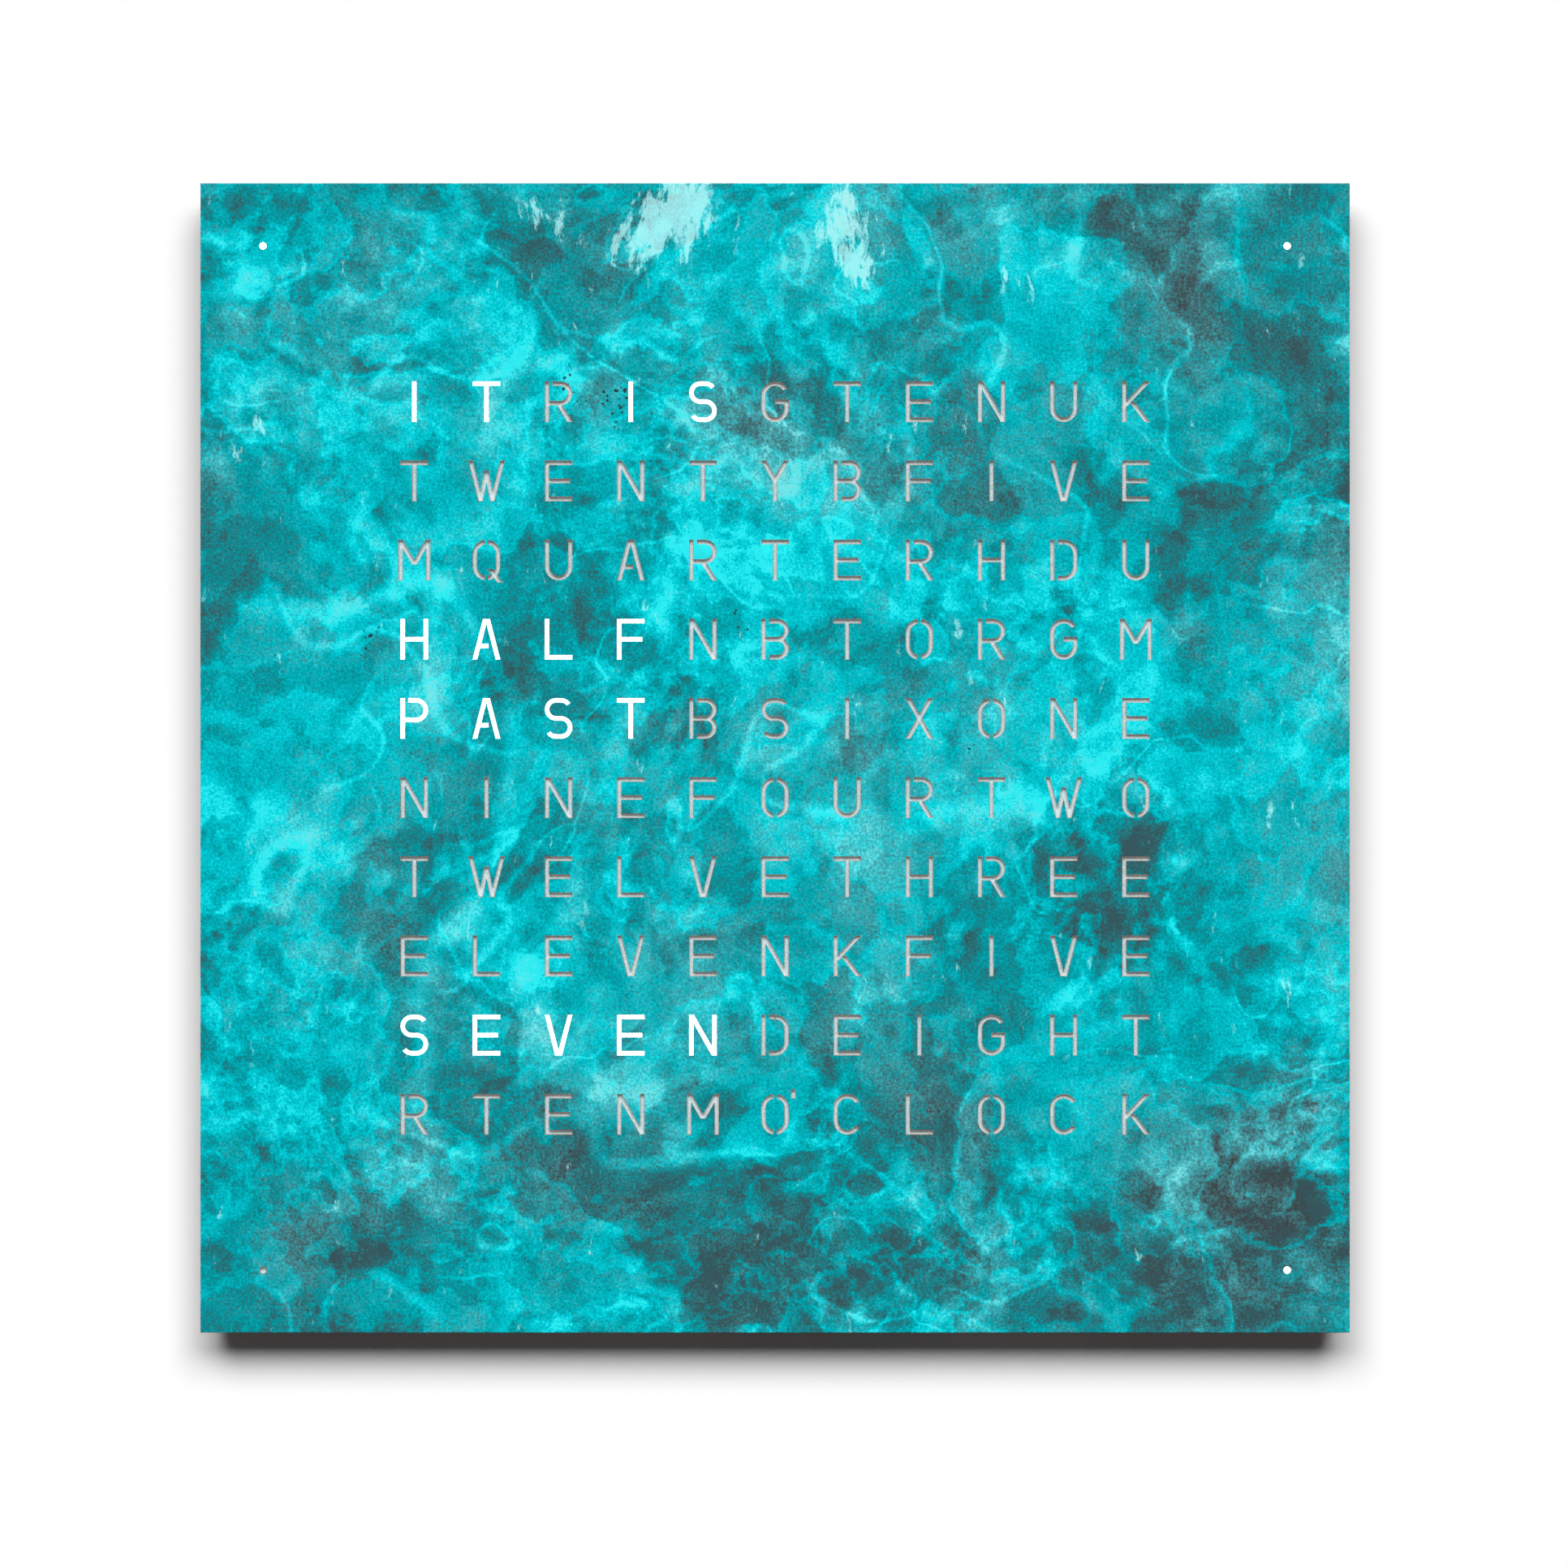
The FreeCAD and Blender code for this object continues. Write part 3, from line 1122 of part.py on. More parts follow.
def make_power_inlet():
    body = block("jack_blank", ("0", "jack_width"), ("channel_floor", "jack_cover_seat"),
                 ("jack_z", "jack_height"))
    bore = turned("jack_bore", "z", ("0", "jack_level"), "jack_low - cut_overlap", "jack_bore_top",
                  "jack_bore_radius")
    subpart(cut("jack", body, [bore]), "power_jack")
    subpart(turned("pin", "z", ("0", "jack_level"), "jack_bore_top - jack_pin_length",
                   "jack_bore_top", "jack_pin_radius"), "jack_pin")
    plate = block("inlet_plate", ("0", "inlet_cover_width"), ("jack_cover_seat", "back_face"),
                  ("inlet_cover_z", "inlet_cover_height"))
    holes = [rear_screw_hole(place, "jack_cover_seat", "screw_radius", "screw_head_radius")
             for place in inlet_screw_places()]
    subpart(cut("inlet_plate_drilled", plate, holes), "inlet_cover")
    screws = [rear_screw(place, "screw_length", "screw_radius", "screw_head_radius")
              for place in inlet_screw_places()]
    subpart(group("inlet_screw_set", screws), "inlet_cover_screws")
    run = "terminal_x - jack_width / 2"
    subpart(block("supply_lead", ("jack_width / 2 + (%s) / 2" % run, run), ("lead_front", "lead_level"),
                  ("power_lead_z", "lead_width")), "power_lead")


# ---------------------------------------------------------------------------------------------------
# Wall fixings: keyhole hangers, their screws and the rubber bumpers
# ---------------------------------------------------------------------------------------------------


def make_hangers():
    plates = [make_hanger_plate(sign + "hanger_x") for sign in ("-", "")]
    subpart(group("hanger_pair", plates), "hanger_plates")
    screws = [rear_screw(place, "hanger_screw_length", "hanger_screw_radius",
                         "hanger_screw_head_radius") for place in hanger_screw_places()]
    subpart(group("hanger_screw_set", screws), "hanger_screws")


def make_hanger_plate(x):
    """A keyhole plate: the wall screw's head enters low and its neck slides up the slot."""
    body = doc.addObject("PartDesign::Body", "hanger")
    pad(body, "hanger_blank", "back_face", "hanger_thickness",
        [("rectangle", x, "hanger_z", "hanger_width", "hanger_length")])
    pocket(body, "keyhole_entry", "rear", "back_face", "hanger_thickness",
           [("circle", x, "keyhole_z", "keyhole_entry_radius")])
    pocket(body, "keyhole_slot", "rear", "back_face", "hanger_thickness",
           [("slot", x, "keyhole_z + keyhole_rise / 2", "keyhole_slot_width",
             "keyhole_rise + keyhole_slot_width")])
    doc.recompute()
    holes = [rear_screw_hole((x, "hanger_z %s hanger_screw_rise" % sign), "hanger_seat",
                             "hanger_screw_radius", "hanger_screw_head_radius") for sign in "-+"]
    return cut("hanger_drilled", body, holes)


def make_bumpers():
    """Square rubber feet that taper towards the wall."""
    bumpers = []
    for a, b in CORNERS:
        bumper = placed(doc.addObject("Part::Wedge", "bumper"), a + "bumper_x", "0", b + "bumper_z")
        bind(bumper, {"Ymin": "bumper_floor", "Ymax": "0"})
        for low, high, width in (("min", "max", "bumper_width"), ("2min", "2max", "bumper_tip")):
            bind(bumper, {axis + low: "-%s / 2" % width for axis in "XZ"})
            bind(bumper, {axis + high: "%s / 2" % width for axis in "XZ"})
        bumpers.append(bumper)
    subpart(group("bumper_set", bumpers), "wall_bumpers")


# ---------------------------------------------------------------------------------------------------
# Build, test and write
# ---------------------------------------------------------------------------------------------------


SOLID_STEPS = ("PartDesign::Pad", "PartDesign::Pocket", "PartDesign::Chamfer",
               "PartDesign::MultiTransform")


def check_features():
    """Every feature is sound, and every pad and pocket changes its body as it should."""
    for item in doc.Objects:
        if {"Invalid", "Error"} & set(item.State):
            raise RuntimeError("%s failed: %s" % (item.Label, item.State))
        if item.isDerivedFrom("PartDesign::Body"):
            steps = [step for step in item.Group if step.TypeId in SOLID_STEPS]
            for earlier, step in zip(steps, steps[1:]):
                grows = step.TypeId == "PartDesign::Pad"
                change = step.Shape.Volume - earlier.Shape.Volume
                if change * (1 if grows else -1) <= 0:
                    raise RuntimeError("%s changed nothing (%.3f)" % (step.Label, change))


def write_subparts():
    os.makedirs("parts", exist_ok=True)
    for item in subparts:
        if item.Shape.isNull() or not item.Shape.isValid() or not item.Shape.Solids:
            raise RuntimeError("%s has no sound shape" % item.Label)
        item.Shape.exportStep("parts/%s.step" % item.Label)


make_front_plate()
make_keeper_plates()
make_body_panel()
make_light_engine()
make_corner_lamps()
make_leads()
make_light_sensor()
make_cover_magnets()
make_controller()
make_flat_cable()
make_lid()
make_buttons()
make_power_inlet()
make_hangers()
make_bumpers()
doc.recompute()
check_features()
write_subparts()
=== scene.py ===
"""Word clock: the looks of its cover, its lit letters, its body and its fittings."""

import json
import math

import bmesh
import bpy
from bpy.props import FloatProperty, IntProperty, PointerProperty, StringProperty
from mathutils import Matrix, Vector
from mathutils.geometry import delaunay_2d_cdt


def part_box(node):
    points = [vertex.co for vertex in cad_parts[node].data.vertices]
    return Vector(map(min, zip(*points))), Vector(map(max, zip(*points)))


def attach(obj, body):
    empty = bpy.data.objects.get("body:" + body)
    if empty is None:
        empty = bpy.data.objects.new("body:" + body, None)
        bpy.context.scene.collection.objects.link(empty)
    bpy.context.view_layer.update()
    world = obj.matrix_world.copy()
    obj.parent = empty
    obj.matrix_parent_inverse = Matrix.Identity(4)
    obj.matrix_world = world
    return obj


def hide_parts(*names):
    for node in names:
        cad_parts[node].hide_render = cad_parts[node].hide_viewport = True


bl_info = {
    "name": "Word clock",
    "version": (1, 0, 0),
    "blender": (4, 5, 0),
    "location": "3D View > Sidebar > Word clock",
    "description": "Dresses a word clock with its patinated cover, lit letters and fittings",
    "category": "Object",
}

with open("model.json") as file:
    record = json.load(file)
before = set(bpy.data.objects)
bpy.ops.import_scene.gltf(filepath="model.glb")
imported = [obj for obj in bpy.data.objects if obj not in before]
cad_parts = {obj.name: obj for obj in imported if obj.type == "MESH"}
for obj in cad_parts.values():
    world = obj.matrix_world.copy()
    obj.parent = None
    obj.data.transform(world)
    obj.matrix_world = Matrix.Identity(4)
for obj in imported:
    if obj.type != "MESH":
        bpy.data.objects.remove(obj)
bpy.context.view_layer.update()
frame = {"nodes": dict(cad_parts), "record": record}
MM = 0.001

# The cover, as the solids have it, in millimetres: its letters from the top row down, the pitch of their
# cells, how far the minute dots lie from its middle lines, and their places clockwise from the top left.
LETTER_ROWS = (
    "ITRISGTENUK",
    "TWENTYBFIVE",
    "MQUARTERHDU",
    "HALFNBTORGM",
    "PASTBSIXONE",
    "NINEFOURTWO",
    "TWELVETHREE",
    "ELEVENKFIVE",
    "SEVENDEIGHT",
    "RTENMO'CLOCK",
)
COLUMNS, ROWS = len(LETTER_ROWS[0]), len(LETTER_ROWS)
COLUMN_PITCH, ROW_PITCH = 28.25, 31.0
DOT_REACH = 200.5
DOT_PLACES = tuple((x * DOT_REACH, z * DOT_REACH) for x, z in ((-1, 1), (1, 1), (1, -1), (-1, -1)))


# ---------------------------------------------------------------------------------------------------
# Settings
# ---------------------------------------------------------------------------------------------------


def length_setting(name, description, millimetres):
    return FloatProperty(name=name, description=description, default=millimetres * MM, unit="LENGTH")


def angle_setting(name, description, degrees):
    return FloatProperty(name=name, description=description, default=math.radians(degrees),
                         subtype="ANGLE")


def tones_setting(name, description, tones):
    """The tones of a finish, as hex digits with spaces between them."""
    return StringProperty(name=name, description=description + ", in hex digits", default=tones)


class ReadingSettings(bpy.types.PropertyGroup):
    words: StringProperty(
        name="Words", description="Words that are lit, in the order in which they are read",
        default="IT IS HALF PAST SEVEN")
    minutes: IntProperty(
        name="Minutes past", description="Minute dots that are lit, clockwise from the top left",
        default=3, min=0, max=4)
    glow: FloatProperty(
        name="Glow", description="Strength of the light in a lit letter", default=0.9, min=0.0)
    # Painted glow: the opal of a letter that is not lit emits this much, standing in for stray light.
    idle_glow: FloatProperty(
        name="Idle glow", description="Light that strays into a letter that is not lit",
        default=0.16, min=0.0)


class CoverSettings(bpy.types.PropertyGroup):
    letter_width: length_setting("Letter width", "Width of a letter over its strokes", 10.8)
    letter_height: length_setting("Letter height", "Height of a letter over its strokes", 15.9)
    stroke: length_setting("Stroke", "Width of the cut that draws a letter", 1.75)
    bridge: length_setting("Bridge", "Metal left across the stroke of a closed letter", 1.3)
    dot_radius: length_setting("Dot radius", "Radius of a minute dot", 1.45)
    chords: IntProperty(
        name="Chords", description="Straight pieces to each quarter of a bend", default=7, min=2)


class FinishSettings(bpy.types.PropertyGroup):
    patina: tones_setting("Patina", "Eight tones from dark to bright",
                          "35575D 2A6C73 0C858D 009CA5 00B3BD 00C7D2 06DCE6 2CEEF4")
    thin_patina: tones_setting("Thin patina", "Six tones from dark to bright, where it has gone grey",
                               "423F40 475E62 4B7E85 4C9FA6 5AC0C6 8CE2E4")
    flakes: tones_setting("Flakes", "The tone of the pale flakes", "D8FFFC")
    cut_edge: tones_setting("Cut edge", "Three tones of the bare metal in the cuts",
                            "6E4A3E A97A66 C39A84")
    lit_opal: tones_setting("Lit opal", "Two tones of a letter that is lit", "FFFFFF FFFEFC")
    idle_opal: tones_setting("Idle opal", "Two tones of a letter that is not lit", "D0E4E7 B2C9CE")
    lacquer: tones_setting("Lacquer", "Two tones of the body", "0B0B0C 1A1A1C")


class StageSettings(bpy.types.PropertyGroup):
    lens: FloatProperty(
        name="Lens", description="Focal length of the camera in millimetres", default=200.0)
    view_width: length_setting("View width", "Width that the camera sees at the cover", 613.9)
    lamp_rise: angle_setting("Lamp rise", "How far above level the two main lamps stand", 34.5)
    lamp_turn: angle_setting("Lamp turn", "How far to each side the two main lamps stand", 18)
    lamp_spread: angle_setting("Lamp spread", "How wide each main lamp is, seen from the clock", 33)


SETTINGS = (
    ("clock_reading", ReadingSettings),
    ("clock_cover", CoverSettings),
    ("clock_finish", FinishSettings),
    ("clock_stage", StageSettings),
)


# ---------------------------------------------------------------------------------------------------
# Node trees
# ---------------------------------------------------------------------------------------------------


def linear(tone):
    """A tone in hex digits, as the linear values that a socket takes."""
    steps = [int(tone[i:i + 2], 16) / 255 for i in (0, 2, 4)]
    return [s / 12.92 if s <= 0.04045 else ((s + 0.055) / 1.055) ** 2.4 for s in steps] + [1.0]


class Tree:
    """Short calls that add nodes to a node tree."""

    def __init__(self, tree):
        self.tree = tree

    def put(self, socket, value):
        if isinstance(value, bpy.types.NodeSocket):
            self.tree.links.new(value, socket)
        else:
            socket.default_value = value

    def node(self, kind, inputs=None, **settings):
        made = self.tree.nodes.new(kind)
        for name, value in settings.items():
            setattr(made, name, value)
        for name, value in (inputs or {}).items():
            self.put(made.inputs[name], value)
        return made

    def vector(self, operation, a, b):
        sockets = {0: a, "Scale": b} if operation == "SCALE" else {0: a, 1: b}
        made = self.node("ShaderNodeVectorMath", sockets, operation=operation)
        return made.outputs["Value" if operation == "DISTANCE" else "Vector"]

    def math(self, operation, a, b=0.0, c=0.0):
        return self.node("ShaderNodeMath", {0: a, 1: b, 2: c}, operation=operation).outputs[0]

    def share(self, value, factor):
        return self.math("MULTIPLY", value, factor)

    def combine(self, x=0.0, y=0.0, z=0.0):
        return self.node("ShaderNodeCombineXYZ", {0: x, 1: y, 2: z}).outputs[0]


class Shapes(Tree):
    """A geometry tree with named inputs, each given as (name, kind of socket, value)."""

    def __init__(self, name, *inputs):
        group = bpy.data.node_groups.new(name, "GeometryNodeTree")
        group.interface.new_socket("Geometry", in_out="INPUT", socket_type="NodeSocketGeometry")
        group.interface.new_socket("Geometry", in_out="OUTPUT", socket_type="NodeSocketGeometry")
        for label, kind, value in inputs:
            socket = group.interface.new_socket(label, in_out="INPUT", socket_type="NodeSocket" + kind)
            if value is not None:
                socket.default_value = value
        super().__init__(group)
        self.given = self.node("NodeGroupInput").outputs

    def gather(self, made, socket, *parts):
        """What a node makes of all the parts, which go to the same socket."""
        for part in parts:
            self.tree.links.new(part, made.inputs[socket])
        return made.outputs[0]

    def joined(self, *parts):
        return self.gather(self.node("GeometryNodeJoinGeometry"), 0, *parts)

    def merged(self, *parts):
        return self.gather(self.node("GeometryNodeMeshBoolean", operation="UNION"), "Mesh 2", *parts)

    def cut(self, block, *parts):
        made = self.node("GeometryNodeMeshBoolean", {"Mesh 1": block}, operation="DIFFERENCE")
        return self.gather(made, "Mesh 2", *parts)

    def cube(self, x, y, z):
        return self.node("GeometryNodeMeshCube", {"Size": self.combine(x, y, z)}).outputs[0]

    def cylinder(self, sides, radius, depth):
        return self.node("GeometryNodeMeshCylinder", {"Vertices": sides, "Radius": radius,
                                                      "Depth": depth}).outputs[0]

    def placed(self, geometry, place, turn=(0, 0, 0)):
        return self.node("GeometryNodeTransform", {"Geometry": geometry, "Translation": place,
                                                   "Rotation": turn}).outputs[0]

    def painted(self, geometry, material):
        return self.node("GeometryNodeSetMaterial", {"Geometry": geometry,
                                                     "Material": self.given[material]}).outputs[0]

    def on_points(self, shape, **more):
        """The shape on each point that comes in, as real geometry."""
        spread = self.node("GeometryNodeInstanceOnPoints", {"Points": self.given["Geometry"],
                                                            "Instance": shape, **more})
        return self.node("GeometryNodeRealizeInstances", {"Geometry": spread.outputs[0]}).outputs[0]

    def ended(self, geometry):
        """The finished tree, which sends the geometry out."""
        self.node("NodeGroupOutput", {"Geometry": geometry})
        return self.tree


class Finish(Tree):
    """A material, and calls for the patterns that it is made of."""

    def __init__(self, name):
        self.material = bpy.data.materials.new(name)
        self.material.use_nodes = True
        super().__init__(self.material.node_tree)
        self.shader = self.tree.nodes["Principled BSDF"]
        self.place = self.node("ShaderNodeTexCoord").outputs["Object"]

    def set(self, **values):
        """Inputs of the shader, by name with underscores."""
        for name, value in values.items():
            self.put(self.shader.inputs[name.replace("_", " ")], value)
        return self.material

    def moved(self, place, offset, scale=(1, 1, 1)):
        return self.node("ShaderNodeMapping",
                         {"Vector": place, "Location": offset, "Scale": scale}).outputs[0]

    def noise(self, place, scale, detail=2.0, roughness=0.5, colour=False):
        made = self.node("ShaderNodeTexNoise", {"Vector": place, "Scale": scale, "Detail": detail,
                                                "Roughness": roughness})
        return made.outputs[1 if colour else 0]

    def cells(self, place, scale):
        """How far the place is from the middle of the nearest of many scattered cells."""
        return self.node("ShaderNodeTexVoronoi", {"Vector": place, "Scale": scale}).outputs["Distance"]

    def warped(self, place, scale, amount, detail=3.0, roughness=0.5):
        """The place pushed about by a noise, by up to the amount."""
        push = self.vector("SUBTRACT", self.noise(place, scale, detail, roughness, colour=True),
                           (0.5, 0.5, 0.5))
        return self.vector("ADD", place, self.vector("SCALE", push, 2 * amount))

    def step(self, value, low, high, to_low=0.0, to_high=1.0):
        """A smooth step between two levels as the value goes from low to high."""
        return self.node("ShaderNodeMapRange",
                         {"Value": value, "From Min": low, "From Max": high,
                          "To Min": to_low, "To Max": to_high},
                         interpolation_type="SMOOTHSTEP").outputs[0]

    def ramp(self, value, *stops):
        """A tone for each level: stops of (level, hex digits) or (level, grey)."""
        made = self.node("ShaderNodeValToRGB", {"Fac": value})
        while len(made.color_ramp.elements) < len(stops):
            made.color_ramp.elements.new(0.5)
        for element, (level, tone) in zip(made.color_ramp.elements, stops):
            element.position = level
            element.color = linear(tone) if isinstance(tone, str) else (tone, tone, tone, 1)
        return made.outputs[0]

    def mix(self, share, a, b):
        made = self.node("ShaderNodeMix", data_type="RGBA")
        for socket, value in ((0, share), (6, a), (7, b)):
            self.put(made.inputs[socket], linear(value) if isinstance(value, str) else value)
        return made.outputs[2]

    def nudge(self, level, pattern, amount, middle=0.5):
        """The level raised or lowered by a pattern about its middle."""
        return self.math("MULTIPLY_ADD", self.math("SUBTRACT", pattern, middle), amount, level)

    def bump(self, height, distance, strength=1.0):
        return self.node("ShaderNodeBump", {"Height": height, "Distance": distance,
                                            "Strength": strength}).outputs[0]


# ---------------------------------------------------------------------------------------------------
# Finishes
# ---------------------------------------------------------------------------------------------------

# Stains on the cover: across, up and radius in millimetres, and how strong.
BRIGHT_STAINS = (
    (-95, 150, 70, 1.2), (-150, 40, 75, 1.8), (-30, 60, 55, 1.5), (-175, -60, 50, 0.8),
    (20, -40, 60, 1.2), (140, 20, 50, 0.9), (200, 90, 35, 1.0), (195, -70, 35, 0.8),
    (60, 205, 45, 0.8), (-50, -110, 50, 0.9), (80, -185, 40, 0.9), (-200, 190, 30, 0.5),
    (-190, 85, 60, 2.2), (-20, -170, 40, 1.2),
)
DARK_STAINS = (
    (155, 185, 65, 1.7), (180, -170, 75, 2.1), (170, 110, 38, 0.9), (-10, 125, 34, 0.8),
    (-190, -200, 42, 1.0), (-140, -170, 40, 0.5), (150, -30, 30, 0.7),
    (0, -205, 45, 0.4), (110, 70, 28, 0.5), (-70, 205, 25, 0.6), (205, -215, 40, 1.0),
)
GREY_STAINS = (
    (-120, 175, 40, 0.9), (-205, 165, 26, 0.8), (-15, 130, 36, 0.9), (160, 185, 55, 1.3),
    (185, -145, 60, 1.4), (-80, -60, 30, 0.5), (105, -80, 30, 0.4), (-195, -195, 34, 0.8),
)
FLAKE_STAINS = (
    (-47, 210, 34, 0.62), (-36, 218, 22, 0.45), (27, 203, 24, 0.60), (34, 190, 16, 0.50),
    (-92, 217, 22, 0.45), (100, 186, 16, 0.42), (-208, 118, 26, 0.34), (64, 131, 16, 0.40),
    (203, -28, 16, 0.36),
)
# Dried pools: where their noise starts, its scale, its level at their edge, how rare their bright rims
# are, and how much brighter they are inside.
POOLS = (
    ((6.3, 0, 2.8), 6.0, 0.51, 0.44, -0.11), ((1.9, 0, 8.6), 11.0, 0.52, 0.45, 0.12),
    ((9.2, 0, 5.1), 16.0, 0.54, 0.44, -0.24), ((4.4, 0, 0.7), 32.0, 0.54, 0.46, 0.15),
    ((0.9, 0, 6.6), 70.0, 0.57, 0.50, -0.16),
)
# Veins: where their noise starts, its scale, how far from its middle level they fade out, and how rare
# they are.
VEINS = (
    ((4.2, 0, 1.9), 5.0, 0.007, 0.49), ((7.4, 0, 3.8), 4.5, 0.022, 0.53),
    ((9.9, 0, 7.3), 9.0, 0.010, 0.49), ((6.1, 0, 0.8), 18.0, 0.014, 0.52),
)


def stain_level(f, place, stains):
    """All of these stains together, each fading from its middle to its edge."""
    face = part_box("front_plate")[0].y
    total = 0.0
    for across, up, radius, strength in stains:
        away = f.vector("DISTANCE", place, (across * MM, face, up * MM))
        total = f.math("ADD", total, f.step(away, 0.0, radius * MM, strength, 0.0))
    return total


def pool(f, place, wide, offset, scale, level, share):
    """Patches where liquid dried, as (1 inside them and 0 outside, their bright rims here and there)."""
    height = f.noise(f.moved(place, offset), scale, 5.0, 0.52)
    soft = 0.004 + 0.0006 * scale
    patch = f.step(height, level - soft, level + soft)
    rim = f.ramp(height, (level - 1.5 * soft, 0.0), (level, 1.0), (level + 1.2 * soft, 0.4),
                 (level + 6 * soft, 0.0))
    where = f.step(f.noise(f.moved(wide, offset), 9.0), share, share + 0.08)
    return patch, f.math("MULTIPLY", rim, where)


def vein(f, place, wide, offset, scale, width, share):
    """A thin wandering line."""
    across = f.math("SUBTRACT", f.noise(f.moved(place, offset), scale), 0.5)
    line = f.step(f.math("ABSOLUTE", across), 0.0, width, 1.0, 0.0)
    where = f.step(f.noise(f.moved(wide, offset), scale * 1.3, 3.0), share, share + 0.08)
    return f.math("MULTIPLY", line, where)


def patina():
    """Copper turned turquoise, with clouds, dried pools, veins, grey patches, pits and pale flakes."""
    f = Finish("patina")
    tones = bpy.context.scene.clock_finish

    # The place, pushed about ever more finely.
    wide = f.warped(f.place, 5.5, 0.026, 2.0)
    ragged = f.warped(wide, 26.0, 0.0052, 2.0)
    fine = f.warped(ragged, 170.0, 0.0011, 3.0, 0.6)

    # Patterns from coarse to fine, and the stains.
    cloud = f.noise(ragged, 6.5, 9.0, 0.66)
    blotch = f.noise(f.moved(fine, (7.7, 0, 4.1)), 10.5, 7.0, 0.6)
    puff = f.noise(f.moved(fine, (3.1, 0, 1.7)), 21.0, 8.0, 0.68)
    mottle = f.noise(f.moved(fine, (1.2, 0, 5.3)), 80.0, 6.0, 0.72)
    speck = f.noise(f.moved(f.place, (3, 0, 3)), 640.0, 3.0, 0.75)
    grain = f.noise(f.place, 900.0, 3.0, 0.8)
    bright, dark = stain_level(f, ragged, BRIGHT_STAINS), stain_level(f, ragged, DARK_STAINS)
    feather = f.noise(f.moved(fine, (2.0, 0, 2.0), (1, 1, 0.35)), 160.0, 5.0, 0.7)
    flakes = f.step(f.nudge(stain_level(f, fine, FLAKE_STAINS), feather, 2.6), 0.38, 0.66)
    across, _, up = f.node("ShaderNodeSeparateXYZ", {0: wide}).outputs
    low_side, right_side = f.step(up, -0.08, -0.20), f.step(across, 0.02, 0.20)

    # Where the surface is lively: in places, and more towards the right.
    stir = f.step(f.noise(f.moved(wide, (1.1, 0, 9.6)), 9.0, 3.0), 0.44, 0.60)
    stir = f.math("MULTIPLY", stir, f.step(across, -0.20, 0.06, 0.6, 1.0))

    # From the darkest to the brightest, about a middle of 0.5.
    level = f.nudge(0.425, cloud, 0.6)
    level = f.nudge(level, puff, f.math("MULTIPLY_ADD", stir, 1.05, 0.50))
    level = f.nudge(level, mottle, f.math("MULTIPLY_ADD", stir, 1.1, 0.50))
    level = f.nudge(level, grain, 1.45)
    rims = veins = 0.0
    for *place, amount in POOLS:
        inside, rim = pool(f, fine, wide, *place)
        level = f.nudge(level, inside, amount)
        rims = f.math("MAXIMUM", rims, rim)
    for vein_place in VEINS:
        veins = f.math("ADD", veins, vein(f, fine, wide, *vein_place))
    for pattern, amount in ((bright, 0.10), (dark, -0.11), (right_side, -0.08), (low_side, -0.09),
                            (rims, f.math("MULTIPLY_ADD", stir, 0.26, 0.12)), (veins, 0.26),
                            (flakes, 0.36)):
        level = f.nudge(level, pattern, amount, 0.0)
    shade = f.ramp(level, *zip((0.0, 0.15, 0.3, 0.45, 0.6, 0.75, 0.9, 1.0), tones.patina.split()))

    # Grey where the patina is thin, which it is less in the lower half.
    thin = 0.34
    for pattern, amount in ((blotch, 3.2), (mottle, 1.5), (puff, 1.3), (speck, 1.7)):
        thin = f.nudge(thin, pattern, amount)
    for pattern, amount in ((stain_level(f, ragged, GREY_STAINS), 0.30), (dark, 0.22),
                            (f.step(up, -0.02, -0.14), -0.16), (rims, -0.35)):
        thin = f.nudge(thin, pattern, amount, 0.0)
    grey = f.ramp(f.nudge(level, speck, -1.1),
                  *zip((0.0, 0.2, 0.4, 0.6, 0.8, 1.0), tones.thin_patina.split()))
    shade = f.mix(f.step(thin, 0.10, 1.10, 0.0, 0.85), shade, grey)

    # Pits in clusters, then the pale flakes over all.
    holes = f.cells(f.warped(f.place, 300.0, 0.0012), 420.0)
    crowd = f.noise(f.moved(ragged, (5.5, 0, 7.5)), 16.0, 4.0, 0.6)
    size = f.step(crowd, 0.60, 0.74, 0.0, 0.42)
    pit = f.step(f.math("SUBTRACT", holes, size), -0.10, 0.02, 0.9, 0.0)
    shade = f.mix(pit, shade, "2B1F1E")
    shade = f.mix(f.share(flakes, 0.45), shade, tones.flakes)
    relief = f.nudge(f.share(mottle, 0.6), grain, 0.5)
    return f.set(Base_Color=shade, Roughness=f.step(level, 0.0, 1.0, 0.62, 0.44),
                 Normal=f.bump(relief, 0.00012, 0.6), Specular_IOR_Level=0.01)


def cut_copper():
    """The bare metal of the cut edges, warm and a little stained."""
    f = Finish("cut_copper")
    stain = f.noise(f.place, 300.0, 4.0, 0.65)
    shade = f.ramp(stain, *zip((0.3, 0.55, 0.75), bpy.context.scene.clock_finish.cut_edge.split()))
    return f.set(Base_Color=shade, Metallic=0.55, Roughness=f.step(stain, 0.3, 0.7, 0.35, 0.6),
                 Normal=f.bump(stain, 0.00005, 0.5))


def dull_copper():
    """The untreated back of the cover."""
    f = Finish("dull_copper")
    wide = f.warped(f.place, 9.0, 0.03)
    stain = f.noise(wide, 12.0, 7.0, 0.62)
    lines = f.noise(f.moved(f.place, (0, 0, 0), (4, 1, 260)), 9.0, 3.0, 0.6)
    level = f.nudge(stain, lines, 0.25)
    shade = f.ramp(level, (0.28, "4A2C22"), (0.45, "7D4A36"), (0.6, "A4674B"), (0.78, "B98368"))
    return f.set(Base_Color=shade, Metallic=0.85, Roughness=f.step(level, 0.3, 0.7, 0.32, 0.5),
                 Normal=f.bump(lines, 0.00003, 0.4))


